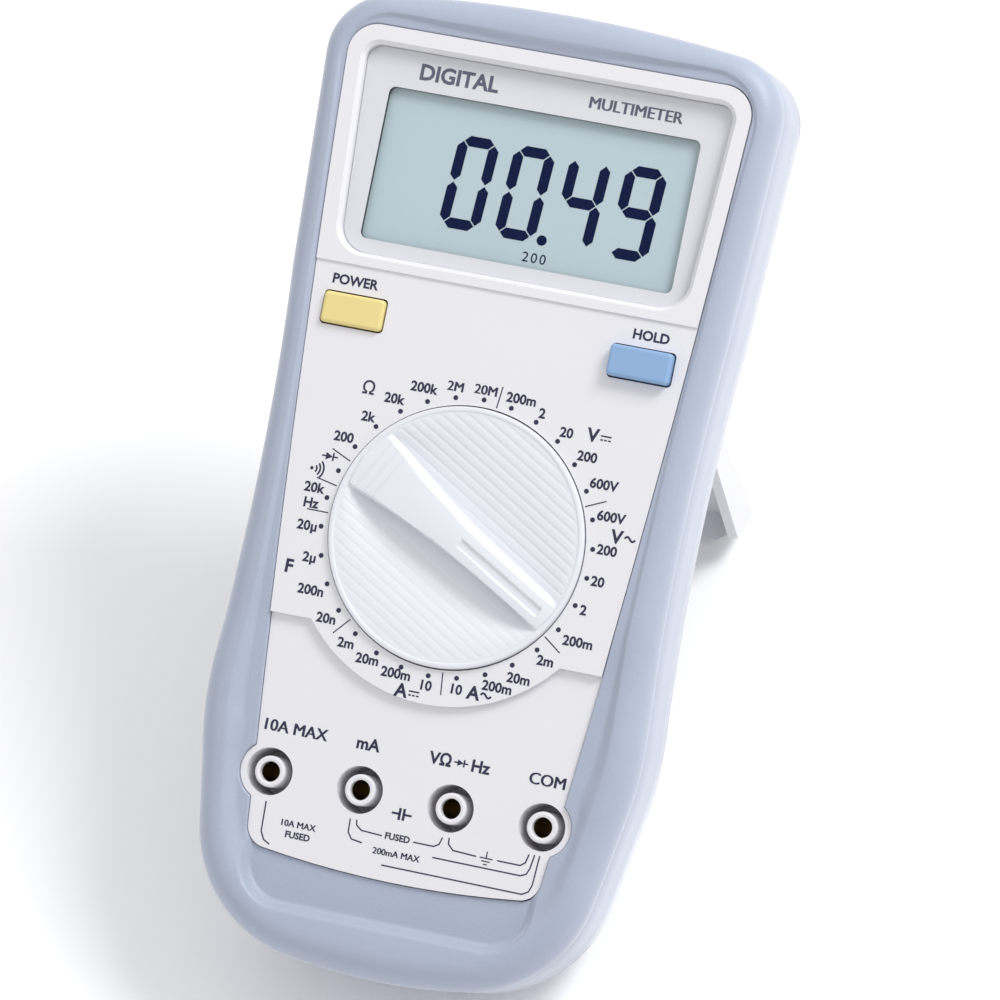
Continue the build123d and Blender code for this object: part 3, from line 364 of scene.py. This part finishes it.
def apron_depth(x, y):
    """Distance inside the scooped apron below the face panel, negative outside it."""
    middle_y, half_y = (APRON_Y + SOCKET_Y) / 2, (SOCKET_Y - APRON_Y) / 2
    side = np.abs(x) - (APRON_HALF - APRON_CORNER_R)
    down = np.abs(y - middle_y) - (half_y - APRON_CORNER_R)
    outside = np.hypot(np.maximum(side, 0), np.maximum(down, 0))
    return APRON_CORNER_R - (outside + np.minimum(np.maximum(side, down), 0))


def eased(values, reach=20):
    """A smooth run round the closed loop that never rises above the given values."""
    shifts = range(-reach, reach + 1)
    lowest = np.min([np.roll(values, shift) for shift in shifts], axis=0)
    return np.mean([np.roll(lowest, shift) for shift in shifts], axis=0)


def front_shell():
    origins, directions = spokes()
    outer = ray_reach(origins, directions, CASE_OUTLINE)
    inner = ray_reach(origins, directions, FACE_OUTLINE)
    for x in (SOCKET_XS[0], SOCKET_XS[-1]):
        inner = np.maximum(inner, circle_reach(origins, directions, (x, SOCKET_Y), LOBE_R))
    width = outer - inner
    edge_y = (origins + directions * inner[:, None])[:, 1]
    edge_z = PANEL_EDGE_Z - EDGE_DROP * smoothstep((DROP_FROM_Y - edge_y) / DROP_RUN)
    # the crown and its roll narrow gradually past the socket lobes
    band = eased(width)
    rise = CROWN_RISE * smoothstep((band - CROWN_FROM) / CROWN_RUN)
    crown = np.minimum(RIM_Z, edge_z + CROWN_LEAST + rise)
    roll = np.minimum(ROLL_R, ROLL_SHARE * band)
    rings = []

    def ring(reach, z):
        spots = origins + directions * reach[:, None]
        rings.append(np.column_stack([spots, np.broadcast_to(z, reach.shape)]))

    def top_z(reach):
        """Height of the crown surface, with the apron scooped out of it."""
        spots = origins + directions * reach[:, None]
        share = (outer - roll - reach) / (band - roll)
        z = crown + (edge_z - crown) * smoothstep(share)
        scoop = smoothstep((apron_depth(spots[:, 0], spots[:, 1]) + SCOOP_START) / SCOOP_RUN)
        return z + (APRON_FLOOR - z) * scoop

    ring(inner, SHELF_Z)
    ring(inner, top_z(inner) - EDGE_LIP)
    ring(inner + EDGE_BEVEL, top_z(inner) - EDGE_BEVEL)
    for step in range(FLAT_STEPS + 1):
        reach = inner + EDGE_LIP + (width - roll - EDGE_LIP) * step / FLAT_STEPS
        ring(reach, top_z(reach))
    side_top = crown - ROLL_DROP
    for step in range(1, ROLL_STEPS + 1):
        angle = math.pi / 2 * step / ROLL_STEPS
        ring(outer - roll * (1 - math.sin(angle)), side_top + (crown - side_top) * math.cos(angle))
    for drop, depth in SIDE_GROOVE:
        ring(outer - depth, side_top - drop)
    wall = side_top - SIDE_GROOVE[-1][0]
    for share in WALL_SHARES:
        ring(outer - WALL_INSET, wall + (SEAM_Z - wall) * share)
    ring(outer - SEAM_INSET, SEAM_Z)
    ring(outer - SHELL_WALL, SEAM_Z)
    ring(outer - SHELL_WALL, SHELF_Z)
    count = len(origins)
    verts = np.vstack(rings)
    faces = []
    for row in range(len(rings)):
        following = (row + 1) % len(rings)
        for column in range(count):
            right = (column + 1) % count
            faces.append((row * count + column, following * count + column,
                          following * count + right, row * count + right))
    shell = smooth(object_from("front_shell", verts, faces), 50)
    return finish_piece(shell, "case", "shell_blue", BLUE_SHELL, "front_case")


front_shell()


# ---- CAD nodes that stay -------------------------------------------------------------------------
NODE_MATERIALS = {
    WHITE_PANEL: ("face_panel",),
    REAR_GREY: ("rear_case", "battery_door"),
    STAND_GREY: ("tilt_stand",),
    MASK_WHITE: ("display_mask",),
    LCD_GREY: ("lcd_cell",),
    BUTTON_YELLOW: ("power_button",),
    BUTTON_BLUE: ("hold_button",),
    # the darkened brass paints shade into the socket bores
    BRASS_DARKENED_AS_SHADE: ("socket_10a", "socket_ma", "socket_volt_ohm", "socket_common", "socket_nuts", "fuse_clips",
            "wiper_contacts"),
    STEEL: ("board_screws", "case_screws", "door_screw", "knob_screw", "detent_springs", "detent_balls"),
    BLACK_PLASTIC: ("display_frame", "measuring_chip", "buzzer", "battery_snap"),
    BOARD_GREEN: ("main_board", "input_board"),
    CREAM: ("knob_rotor", "power_switch", "hold_switch"),
    RUBBER_PINK: ("zebra_strips",),
    BLUE_TRIMMER: ("trimmers",),
    RED_DIPPED: ("film_capacitors",),
    SLEEVE_NAVY: ("electrolytic_capacitor",),
    ORANGE_DIPPED: ("thermistor",),
    CERAMIC: ("fuse_10a", "fuse_200ma"),
    SHUNT: ("current_shunt",),
    BATTERY_SLEEVE: ("battery",),
    WIRE_RED: ("battery_lead_red",),
    WIRE_BLACK: ("battery_lead_black",),
    FOAM: ("battery_pad",),
}
for material, names in NODE_MATERIALS.items():
    for name in names:
        node = frame["nodes"][name]
        node.data.materials.clear()
        node.data.materials.append(material)


# ---- selector knob -------------------------------------------------------------------------------
BOWL_R, BOWL_EDGE_Z, LOWER_DEPTH, UPPER_DEPTH = 24.1, 0.85, 3.4, 1.9
BAR_PLACES = (-24.0, -16.0, -8.0, 0.0, 8.0, 16.0, 24.0)
BAR_HALVES = (6.3, 5.2, 4.1, 3.4, 3.1, 3.0, 3.1)
BAR_TOPS = (1.15, 2.1, 2.7, 2.8, 2.6, 2.0, 1.1)
RIB_PITCH, RIB_DEPTH = 1.75, 0.1
HUB_R, HUB_UNDER, HOLE_R, HOLE_TOP = 8.92, -5.1, 1.3, -1.6
UPPER_CURVE, LOWER_CURVE, LOWER_RIB_SHARE = 1.3, 2.1, 0.6
RIB_CLEAR, RIB_FADE, RIM_FADE = 1.0, 1.2, 0.8
BAR_CROWN, WALL_START, UPPER_WALL, LOWER_WALL = 0.22, 0.5, 1.3, 0.8
POINTER_HALF, POINTER_START, POINTER_END, POINTER_DEPTH = 1.0, 1.6, 22.3, 0.45
POINTER_SIDE, POINTER_TIP = 0.25, 0.5
GRIP_PLACES, GRIP_DEPTH, GRIP_WIDTH, GRIP_FADE = (-21.8, -19.8, -17.8), 0.22, 0.42, 0.6
RIM_BEAD = ((24.2, 0.94), (24.4, 1.0), (24.75, 1.0), (25.05, 0.9), (KNOB_R, 0.6))


def knob_height(along, across, half, reach):
    """Height of the knob's top: a bar between two ribbed bowls, with a pointer line and grip ribs."""
    distance = np.abs(across)
    outward = np.clip((distance - half) / np.maximum(reach - half, 0.01), 0, 1)
    radius = np.hypot(along, across) / BOWL_R
    upper = across > 0
    depth = np.where(upper, UPPER_DEPTH, LOWER_DEPTH)
    curve = np.where(upper, UPPER_CURVE, LOWER_CURVE)
    bowl = BOWL_EDGE_Z - depth * (1 - outward) ** curve * (1 - radius ** 6)
    groove = (0.5 + 0.5 * np.cos(2 * math.pi * across / RIB_PITCH)) ** 4
    fade = smoothstep((distance - half - RIB_CLEAR) / RIB_FADE) * smoothstep((1 - radius) * BOWL_R / RIM_FADE)
    bowl = bowl - np.where(upper, RIB_DEPTH, LOWER_RIB_SHARE * RIB_DEPTH) * groove * fade
    top = np.interp(along, BAR_PLACES, BAR_TOPS) - BAR_CROWN * np.minimum(distance / half, 1) ** 2
    pointer = smoothstep((POINTER_HALF - distance) / POINTER_SIDE)
    pointer = pointer * smoothstep((along - POINTER_START) / POINTER_TIP)
    pointer = pointer * smoothstep((POINTER_END - along) / POINTER_TIP)
    top = top - POINTER_DEPTH * pointer
    for place in GRIP_PLACES:
        grip = np.exp(-((along - place) / GRIP_WIDTH) ** 2)
        top = top - GRIP_DEPTH * grip * smoothstep((half - distance) / GRIP_FADE)
    wall = smoothstep((distance - half + WALL_START) / np.where(upper, UPPER_WALL, LOWER_WALL))
    return top + (np.minimum(bowl, top) - top) * wall


def selector_knob():
    rows, side_steps, top_steps = 260, 96, 34
    turns = (np.arange(rows) + 0.5) / rows * math.pi - math.pi / 2
    verts, grid = [], []
    for turn in turns:
        along, reach = BOWL_R * math.sin(turn), BOWL_R * math.cos(turn)
        half = min(float(np.interp(along, BAR_PLACES, BAR_HALVES)), reach * 0.8)
        inner_half = half + min(0.3, 0.1 * reach)
        outside = np.linspace(reach, inner_half, side_steps, endpoint=False)
        across = np.concatenate([-outside, np.linspace(-inner_half, inner_half, top_steps), outside[::-1]])
        heights = knob_height(np.full_like(across, along), across, half, reach)
        heights[0] = heights[-1] = BOWL_EDGE_Z
        grid.append(range(len(verts), len(verts) + len(across)))
        verts.extend(zip(np.full_like(across, along), across, heights))
    faces = []
    for near, far in zip(grid[:-1], grid[1:]):
        faces.extend((near[i], far[i], far[i + 1], near[i + 1]) for i in range(len(near) - 1))
    rim = [row[0] for row in grid] + [row[-1] for row in reversed(grid)]
    angles = [math.atan2(verts[spot][1], verts[spot][0]) for spot in rim]
    profile = RIM_BEAD + (
        (KNOB_R, KNOB_UNDER), (HUB_R, KNOB_UNDER), (HUB_R, HUB_UNDER),
        (HOLE_R, HUB_UNDER), (HOLE_R, HOLE_TOP),
    )
    ring = rim
    for level, (radius, z) in enumerate(profile):
        outer = list(range(len(verts), len(verts) + len(rim)))
        verts.extend((radius * math.cos(angle), radius * math.sin(angle), z) for angle in angles)
        for place in range(len(rim)):
            following = (place + 1) % len(rim)
            corners = [outer[place], outer[following], ring[following], ring[place]]
            if level == 0 and place == len(grid) - 1:
                corners[2:] = list(reversed(grid[-1]))
            elif level == 0 and place == len(rim) - 1:
                corners[2:] = list(grid[0])
            faces.append(tuple(corners))
        ring = outer
    faces.append(tuple(ring))
    knob = smooth(object_from("selector_dial", verts, faces, Matrix.Rotation(KNOB_ANGLE, 4, "Z")), 35)
    return finish_piece(knob, "selector", "knob_white", KNOB_WHITE, "selector_knob")


selector_knob()


# ---- printing ------------------------------------------------------------------------------------
INK_LIFT, INK_THICK = 0.01, 0.03
DISPLAY_STEP_Y, SOCKET_STEP_Y, DIAL_STEP_R = 47.9, -20.6, 32.4  # where the panel changes level


def face_level(x, y):
    """Height of the face panel under a point."""
    if y > DISPLAY_STEP_Y:
        return DISPLAY_LEVEL
    if y > SOCKET_STEP_Y or math.hypot(x, y) < DIAL_STEP_R:
        return DIAL_LEVEL
    return SOCKET_LEVEL


def prism(outline, z, thick=INK_THICK):
    """Closed thin solid over a flat polygon."""
    count = len(outline)
    verts = [(x, y, z) for x, y in outline] + [(x, y, z + thick) for x, y in outline]
    faces = [tuple(reversed(range(count))), tuple(range(count, 2 * count))]
    faces += [(i, (i + 1) % count, count + (i + 1) % count, count + i) for i in range(count)]
    return verts, faces


def letter_shapes(words, offset=0.0, depth=0.0, spacing=1.0):
    """Points and faces of words in the built-in font at size 1."""
    data = bpy.data.curves.new("letters", "FONT")
    data.body, data.size, data.offset, data.extrude = words, 1.0, offset, depth
    data.space_character, data.resolution_u = spacing, 3
    thing = bpy.data.objects.new("letters", data)
    bpy.context.scene.collection.objects.link(thing)
    bpy.context.view_layer.update()
    mesh = bpy.data.meshes.new_from_object(thing)
    spots = np.array([vertex.co[:] for vertex in mesh.vertices])
    faces = [tuple(polygon.vertices) for polygon in mesh.polygons]
    bpy.data.objects.remove(thing)
    bpy.data.curves.remove(data)
    bpy.data.meshes.remove(mesh)
    return spots, faces


CAP_HEIGHT = letter_shapes("H")[0][:, 1].max()


class Print:
    """Gathers letters, lines and dots into one printed piece."""

    def __init__(self):
        self.verts, self.faces = [], []

    def add(self, verts, faces):
        base = len(self.verts)
        self.verts.extend(verts)
        self.faces.extend(tuple(base + corner for corner in face) for face in faces)

    def polygon(self, outline, z=None):
        middle = np.mean(outline, axis=0)
        self.add(*prism(outline, (face_level(*middle) if z is None else z) + INK_LIFT))

    def dot(self, x, y, radius, z=None):
        self.polygon([(x + radius * math.cos(a), y + radius * math.sin(a))
                      for a in np.linspace(0, 2 * math.pi, 24, endpoint=False)], z)

    def stroke(self, points, width, z=None):
        """Line of even width through the points, mitred at its bends."""
        points = np.array(points, float)
        along = np.diff(points, axis=0)
        along /= np.linalg.norm(along, axis=1, keepdims=True)
        side = np.stack([-along[:, 1], along[:, 0]], 1)
        mitre = np.vstack([side[:1], side[:-1] + side[1:], side[-1:]])
        for place in range(1, len(points) - 1):
            mitre[place] /= 1 + side[place - 1] @ side[place]
        left, right = points + mitre * width / 2, points - mitre * width / 2
        self.polygon([tuple(point) for point in np.vstack([left, right[::-1]])], z)

    def text(self, words, x, y, cap, bold=0.03, z=None, spacing=1.0):
        """Letters centred on a point, cap millimetres tall.

        The font's M can't be offset, so words with an M are drawn twice, a little apart, to be as bold.
        """
        doubled = "M" in words and bold > 0
        spots, faces = letter_shapes(words, 0.0 if doubled else bold, 0.02, spacing)
        scale = cap / CAP_HEIGHT
        low, high = spots[:, 0].min(), spots[:, 0].max()
        level = face_level(x, y) if z is None else z
        for copy, apart in enumerate((-bold, bold) if doubled else (0.0,)):
            base = level + INK_LIFT + copy * INK_THICK / 4
            heights = np.where(spots[:, 2] > 0, base + INK_THICK, base)
            across = (spots[:, 0] - (low + high) / 2 + apart) * scale + x
            self.add(np.column_stack([across, (spots[:, 1] - CAP_HEIGHT / 2) * scale + y, heights]), faces)

    def piece(self, name):
        return object_from(name, self.verts, self.faces)

    def finish(self, name, body, slot, material):
        return finish_piece(self.piece(name), body, slot, material)


OHM, MICRO = chr(0x03A9), chr(0x00B5)
LABEL_CAP, SIGN_CAP = 1.8, 2.45
DIAL_LABELS = (
    "20M", "200m", "2", "20", "200", "600V", "600V", "200", "20", "2",
    "200m", "2m", "20m", "200m", "10", "10", "200m", "20m", "2m", "20n",
    "200n", "2" + MICRO, "20" + MICRO, "20k", "", "200", "2k", "20k", "200k", "2M",
)
NUDGES = {1: (1.1, -0.3), 10: (1.0, 0.2), 13: (1.6, 0.7), 16: (-0.3, 1.0), 17: (-0.5, 0.9), 23: (0.0, 1.2)}
DOT_R, LABEL_R, GROUP_LINES = 26.9, 27.9, (84, 24, -36, -84, -132, 180, 168, 156)
LINE_START_R, LINE_END_R, DOT_SIZE = 25.9, 30.2, 0.48
SIGN_HALF, WAVE_SWING = 1.05, 0.4
THIN_LINE, FINE_LINE, SIGN_LINE, BRACKET_LINE = 0.22, 0.28, 0.32, 0.26
BUZZER_SIGN = (-30.8, 7.9)
SOCKET_CAP, NOTE_CAP, SOCKET_LABEL_Y = 2.2, 1.2, -42.0
BRACKETS = (
    ((-26.9, -56.6), (-26.7, -62.4), (-25.9, -63.9), (-24.6, -64.6)),
    ((-2.0, -64.1), (26.2, -64.1), (27.4, -63.4), (27.9, -62.0), (28.2, -56.3)),
    ((-9.8, -56.6), (-9.7, -59.2), (-8.8, -60.4), (-6.6, -60.7)),
    ((7.6, -60.7), (25.2, -60.7), (26.3, -60.2), (26.8, -59.0), (27.2, -56.3)),
    ((-8.5, -56.6), (-8.3, -57.6), (-7.2, -58.4), (-3.0, -58.6)),
    ((3.3, -58.6), (7.4, -58.6), (8.4, -58.0), (8.8, -56.6)),
    ((10.1, -56.4), (10.2, -57.6), (11.3, -58.6), (16.0, -58.8)),
    ((20.2, -58.8), (24.8, -58.8), (25.7, -58.1), (26.1, -56.4)),
)


def steady_and_wave(ink, x, y, wave):
    """Direct-current bars, or the alternating-current wave."""
    if wave:
        places = np.linspace(-SIGN_HALF, SIGN_HALF, 15)
        ink.stroke([(x + p, y - WAVE_SWING * math.sin(p / SIGN_HALF * math.pi)) for p in places], 0.38)
        return
    ink.stroke([(x - SIGN_HALF, y + 0.35), (x + SIGN_HALF, y + 0.35)], FINE_LINE)
    for place in (-0.78, 0.0, 0.78):
        ink.stroke([(x + place - 0.27, y - 0.4), (x + place + 0.27, y - 0.4)], FINE_LINE)


def diode(ink, x, y, size):
    ink.polygon([(x - size, y + size * 0.9), (x - size, y - size * 0.9), (x + size * 0.7, y)])
    ink.stroke([(x + size * 0.85, y + size), (x + size * 0.85, y - size)], SIGN_LINE)
    ink.stroke([(x - 2.0 * size, y), (x - size, y)], FINE_LINE)
    ink.stroke([(x + size, y), (x + 2.0 * size, y)], FINE_LINE)


def dial_printing():
    ink = Print()
    for place, words in enumerate(DIAL_LABELS):
        angle = math.radians(90 - 12 * place)
        ink.dot(DOT_R * math.cos(angle), DOT_R * math.sin(angle), DOT_SIZE)
        if not words:
            continue
        half_width = 0.32 * LABEL_CAP * len(words)
        if words.endswith(("m", "M", "V")):
            half_width += 0.15 * LABEL_CAP
        reach = LABEL_R + half_width * abs(math.cos(angle)) + LABEL_CAP / 2 * abs(math.sin(angle))
        aside, lift = NUDGES.get(place, (0.0, 0.0))
        ink.text(words, reach * math.cos(angle) + aside, reach * math.sin(angle) + lift, LABEL_CAP)
    for angle in GROUP_LINES:
        ray = np.array([math.cos(math.radians(angle)), math.sin(math.radians(angle))])
        ink.stroke([LINE_START_R * ray, LINE_END_R * ray], THIN_LINE)
    ink.text("Hz", -29.6, 1.3, LABEL_CAP)
    ink.text("F", -31.4, -11.4, SIGN_CAP)
    ink.text(OHM, -22.9, 25.1, SIGN_CAP, 0.01)
    ink.text("V", 22.4, 24.2, SIGN_CAP)
    steady_and_wave(ink, 25.0, 24.0, False)
    ink.text("V", 30.9, 6.0, SIGN_CAP)
    steady_and_wave(ink, 33.5, 6.0, True)
    ink.text("A", 9.4, -28.4, SIGN_CAP)
    steady_and_wave(ink, 11.9, -28.5, True)
    ink.text("A", -4.7, -30.6, SIGN_CAP)
    steady_and_wave(ink, -2.1, -30.8, False)
    diode(ink, -27.8, 10.7, 0.8)
    x, y = BUZZER_SIGN
    spread = np.linspace(-0.75, 0.75, 9)
    for radius in (0.9, 1.6, 2.3):
        ink.stroke([(x + radius * math.cos(a), y + radius * math.sin(a)) for a in spread], 0.34)
    ink.dot(x - 0.1, y, 0.33)
    ink.finish("dial_printing", "case", "inner_black", PRINT_INK)


def label_printing():
    ink = Print()
    ink.text("POWER", -29.7, 44.7, LABEL_CAP)
    ink.text("HOLD", 29.8, 44.7, LABEL_CAP)
    for words, x in (("10A MAX", -23.8), ("mA", -9.15), ("V" + OHM, 5.3), ("Hz", 13.5), ("COM", 26.8)):
        ink.text(words, x, SOCKET_LABEL_Y, SOCKET_CAP)
    diode(ink, 9.5, SOCKET_LABEL_Y, 0.7)
    # capacitor sign
    for side in (-1, 1):
        ink.stroke([(side * 0.42, -55.0), (side * 0.42, -52.7)], 0.5)
        ink.stroke([(side * 0.42, -53.85), (side * 2.0, -53.85)], 0.4)
    ink.text("10A MAX", -19.6, -59.9, NOTE_CAP)
    ink.text("FUSED", -19.4, -62.0, NOTE_CAP)
    ink.text("FUSED", 0.1, -58.4, NOTE_CAP)
    ink.text("200mA MAX", 0.5, -61.6, NOTE_CAP)
    # ground sign, and the brackets that tie the sockets together
    for place, half in enumerate((1.3, 0.85, 0.4)):
        y = -58.8 - 0.6 * place
        ink.stroke([(18.0 - half, y), (18.0 + half, y)], THIN_LINE)
    ink.stroke([(18.0, -57.5), (18.0, -58.8)], THIN_LINE)
    for path in BRACKETS:
        ink.stroke(path, BRACKET_LINE)
    ink.finish("label_printing", "case", "inner_black", PRINT_INK)
    heading = Print()
    heading.text("DIGITAL", -18.0, 87.0, 2.9, 0.03, MASK_TOP)
    heading.text("MULTIMETER", 17.6, 86.9, 2.2, 0.03, MASK_TOP)
    heading.finish("heading_printing", "case", "inner_black", PRINT_GREY)


# ---- display window ------------------------------------------------------------------------------
LENS_TOP, LENS_UNDER, LENS_EDGE = -0.6, -1.94, 0.3
LENS_TOP_Y, LENS_FOOT_Y, LENS_HALF_TOP, LENS_HALF_FOOT = 90.6, 50.6, 37.0, 34.6
LENS_RADII, WINDOW_RADII, LOOP_POINTS = [3.0, 5.5], [1.4, 1.4], 300
# painted shade: a black ring under the mask that darkens the window's edge, where the mask's shadow falls
SHADE_RING_TOP, SHADE_RING_UNDER, SHADE_RING_W = -2.34, -3.36, 0.9


def loop(pieces, radii, count):
    """Evenly spaced points round a mirrored closed outline."""
    outline = closed_outline(pieces, radii)
    return resample(np.vstack([outline, outline[:1]]), count + 1)[:-1]


def inset(outline, amount):
    """Clockwise closed outline moved inwards."""
    along = np.roll(outline, -1, 0) - np.roll(outline, 1, 0)
    along /= np.linalg.norm(along, axis=1, keepdims=True)
    return outline + amount * np.stack([along[:, 1], -along[:, 0]], 1)


def stacked(rings, capped):
    """Mesh over outlines at heights; capped at both ends, or closed on itself as a ring."""
    count = len(rings[0][0])
    verts = [(x, y, z) for outline, z in rings for x, y in outline]
    spans = len(rings) - 1 if capped else len(rings)
    faces = [
        (row * count + i, (row + 1) % len(rings) * count + i,
         (row + 1) % len(rings) * count + (i + 1) % count, row * count + (i + 1) % count)
        for row in range(spans) for i in range(count)
    ]
    if capped:
        faces.append(tuple(range(count)))
        faces.append(tuple(reversed(range(len(verts) - count, len(verts)))))
    return verts, faces


def display_window():
    """Clear lens with a softened edge, just clear of its mask, and a black ring round the cell as painted
    shade.
    """
    top, foot = (LENS_HALF_TOP, LENS_TOP_Y), (LENS_HALF_FOOT, LENS_FOOT_Y)
    edge = loop([line((0, LENS_TOP_Y), top), line(top, foot), line(foot, (0, LENS_FOOT_Y))],
                LENS_RADII, LOOP_POINTS)
    lens = object_from("display_window", *stacked(
        [(edge, LENS_UNDER), (edge, LENS_TOP - LENS_EDGE), (inset(edge, 0.1), LENS_TOP - 0.08),
         (inset(edge, LENS_EDGE), LENS_TOP)], True))
    finish_piece(smooth(lens, 30), "case", "lens_clear", LENS_CLEAR, "display_lens")
    top, foot = (WINDOW_HALF, WINDOW_TOP_Y), (WINDOW_HALF, WINDOW_BOTTOM_Y)
    window = loop([line((0, WINDOW_TOP_Y), top), line(top, foot), line(foot, (0, WINDOW_BOTTOM_Y))],
                  WINDOW_RADII, LOOP_POINTS)
    # the black ring round the window is painted shade, not a real part
    outer = inset(window, -SHADE_RING_W)
    shade_ring = object_from("window_shade_ring", *stacked(
        [(window, SHADE_RING_UNDER), (window, SHADE_RING_TOP), (outer, SHADE_RING_TOP), (outer, SHADE_RING_UNDER)], False))
    finish_piece(smooth(shade_ring, 30), "case", "inner_black", BLACK_PLASTIC)


display_window()


# ---- display figures -----------------------------------------------------------------------------
DIGIT_H, DIGIT_W, BAR_W, BAR_GAP, SLANT = 18.2, 8.3, 2.05, 0.17, math.tan(math.radians(3))
DIGIT_Y, FIRST_DIGIT_X, DIGIT_PITCH = 58.4, -17.0, 11.25
SEGMENTS = {"0": "abcdef", "4": "bcfg", "9": "abcdfg"}


def segment_shapes():
    """The seven bars of a figure, with pointed ends."""
    half, cut = BAR_W / 2, BAR_GAP
    left, right, low, high, middle = half, DIGIT_W - half, half, DIGIT_H - half, DIGIT_H / 2

    def level_bar(y, start, end):
        a, b = start + cut, end - cut
        return [(a, y), (a + half, y + half), (b - half, y + half),
                (b, y), (b - half, y - half), (a + half, y - half)]

    def upright_bar(x, start, end):
        a, b = start + cut, end - cut
        return [(x, a), (x + half, a + half), (x + half, b - half),
                (x, b), (x - half, b - half), (x - half, a + half)]

    return {
        "a": level_bar(high, left, right), "g": level_bar(middle, left, right),
        "d": level_bar(low, left, right),
        "b": upright_bar(right, middle, high), "c": upright_bar(right, low, middle),
        "e": upright_bar(left, low, middle), "f": upright_bar(left, middle, high),
    }


def display_figures():
    ink, shapes = Print(), segment_shapes()
    for place, digit in enumerate("0049"):
        for segment in SEGMENTS[digit]:
            ink.polygon([(FIRST_DIGIT_X + DIGIT_PITCH * place + x + y * SLANT, DIGIT_Y + y)
                         for x, y in shapes[segment]], CELL_TOP)
    ink.dot(4.0, 59.2, 1.0, CELL_TOP)
    ink.text("200", 3.2, 55.6, 1.9, 0.0, CELL_TOP, 1.25)
    ink.finish("display_figures", "case", "lcd_glass", LCD_INK)


# ---- socket wells --------------------------------------------------------------------------------
WELL_FLOOR = -13.8
WELL_WALL = ((4.7, WELL_FLOOR), (4.7, -1.2), (4.66, -1.17), (4.6, -1.24), (4.58, -1.4), (4.58, WELL_FLOOR))
TUBE_WALL = (
    (2.95, WELL_FLOOR), (3.05, WELL_FLOOR), (3.05, -1.85), (2.95, -1.6), (2.7, -1.48), (2.35, -1.48),
    (2.1, -1.6), (2.02, -1.8), (2.02, -3.0), (2.1, -3.0), (2.2, -1.75), (2.8, -1.75),
)


def lathe(profile, centre, steps=96):
    """Closed ring turned about an upright axis; the profile is a closed loop of radius and height."""
    angles = np.linspace(0, 2 * math.pi, steps, endpoint=False)
    x, y = centre
    verts = [(x + r * math.cos(a), y + r * math.sin(a), z) for a in angles for r, z in profile]
    count = len(profile)
    faces = [
        (spoke * count + i, (spoke + 1) % steps * count + i, (spoke + 1) % steps * count + (i + 1) % count,
         spoke * count + (i + 1) % count)
        for spoke in range(steps) for i in range(count)
    ]
    return verts, faces


def socket_linings():
    """Smooth walls of the round wells, and the rounded lips of the white tubes that stand in them."""
    linings = Print()
    for x in SOCKET_XS:
        for profile in (WELL_WALL, TUBE_WALL):
            linings.add(*lathe(profile, (x, SOCKET_Y)))
    thing = smooth(linings.piece("socket_linings"), 40)
    finish_piece(thing, "case", "panel_white", WHITE_PANEL)


socket_linings()
dial_printing()
label_printing()
display_figures()


# ---- camera, floor and light ---------------------------------------------------------------------
# where the camera stands and how it is turned, in the face frame
CAMERA_AT = (326.23, -33.41, 1239.19)
CAMERA_RIGHT, CAMERA_DOWN = Vector((0.95071, 0.19854, -0.23818)), Vector((0.18433, -0.97954, -0.08076))
LENS_MM, SENSOR_MM = 241.42, 36.0
LIGHT_AIM = (0, 0, 0.06)
FLOOR_HALF = 4  # metres
BRIGHT_SIDE, DIM_STRENGTH, BRIGHT_STRENGTH = (0.35, 0.45, 0.82), 0.42, 0.95


def camera():
    data = bpy.data.cameras.new("camera")
    data.lens, data.sensor_width = LENS_MM, SENSOR_MM
    data.clip_start, data.clip_end = 0.05, 20.0
    thing = bpy.data.objects.new("camera", data)
    bpy.context.scene.collection.objects.link(thing)
    turn = STANCE.to_3x3().normalized()
    right, up = turn @ CAMERA_RIGHT, turn @ -CAMERA_DOWN
    back = right.cross(up)
    turned = Matrix((right, up, back)).transposed().to_4x4()
    thing.matrix_world = Matrix.Translation(STANCE @ Vector(CAMERA_AT)) @ turned
    bpy.context.scene.camera = thing


def area_light(name, at, size, power):
    data = bpy.data.lights.new(name, "AREA")
    data.shape, data.size, data.energy = "DISK", size, power
    thing = bpy.data.objects.new(name, data)
    bpy.context.scene.collection.objects.link(thing)
    thing.location = at
    thing.rotation_euler = (Vector(LIGHT_AIM) - Vector(at)).to_track_quat("-Z", "Y").to_euler()


def studio():
    mesh = bpy.data.meshes.new("floor_sheet")
    corners = [(x * FLOOR_HALF, y * FLOOR_HALF, 0) for x, y in ((-1, -1), (1, -1), (1, 1), (-1, 1))]
    mesh.from_pydata(corners, [], [(0, 1, 2, 3)])
    mesh.materials.append(moulded("floor_paper", srgb(254, 254, 254), 0.85, 0.8, 0.01, 0.002))
    floor = bpy.data.objects.new("floor", mesh)
    bpy.context.scene.collection.objects.link(floor)
    world = bpy.data.worlds.new("studio")
    bpy.context.scene.world = world
    world.use_nodes = True
    background = world.node_tree.nodes["Background"]
    background.inputs["Color"].default_value = (0.985, 0.985, 1.0, 1.0)
    # brighter overhead and behind the meter than in front of it
    way = world.node_tree.nodes.new("ShaderNodeTexCoord")
    facing = world.node_tree.nodes.new("ShaderNodeVectorMath")
    facing.operation = "DOT_PRODUCT"
    facing.inputs[1].default_value = BRIGHT_SIDE
    world.node_tree.links.new(way.outputs["Generated"], facing.inputs[0])
    strength = world.node_tree.nodes.new("ShaderNodeMapRange")
    strength.inputs["From Min"].default_value = -0.5
    strength.inputs["To Min"].default_value = DIM_STRENGTH
    strength.inputs["To Max"].default_value = BRIGHT_STRENGTH
    world.node_tree.links.new(facing.outputs["Value"], strength.inputs["Value"])
    world.node_tree.links.new(strength.outputs["Result"], background.inputs["Strength"])
    area_light("key", (0.62, 0.42, 1.05), 0.5, 8.6)
    area_light("fill", (-0.9, -0.7, 0.9), 0.9, 1.5)
    bpy.context.scene.view_settings.view_transform = "Standard"


camera()
studio()
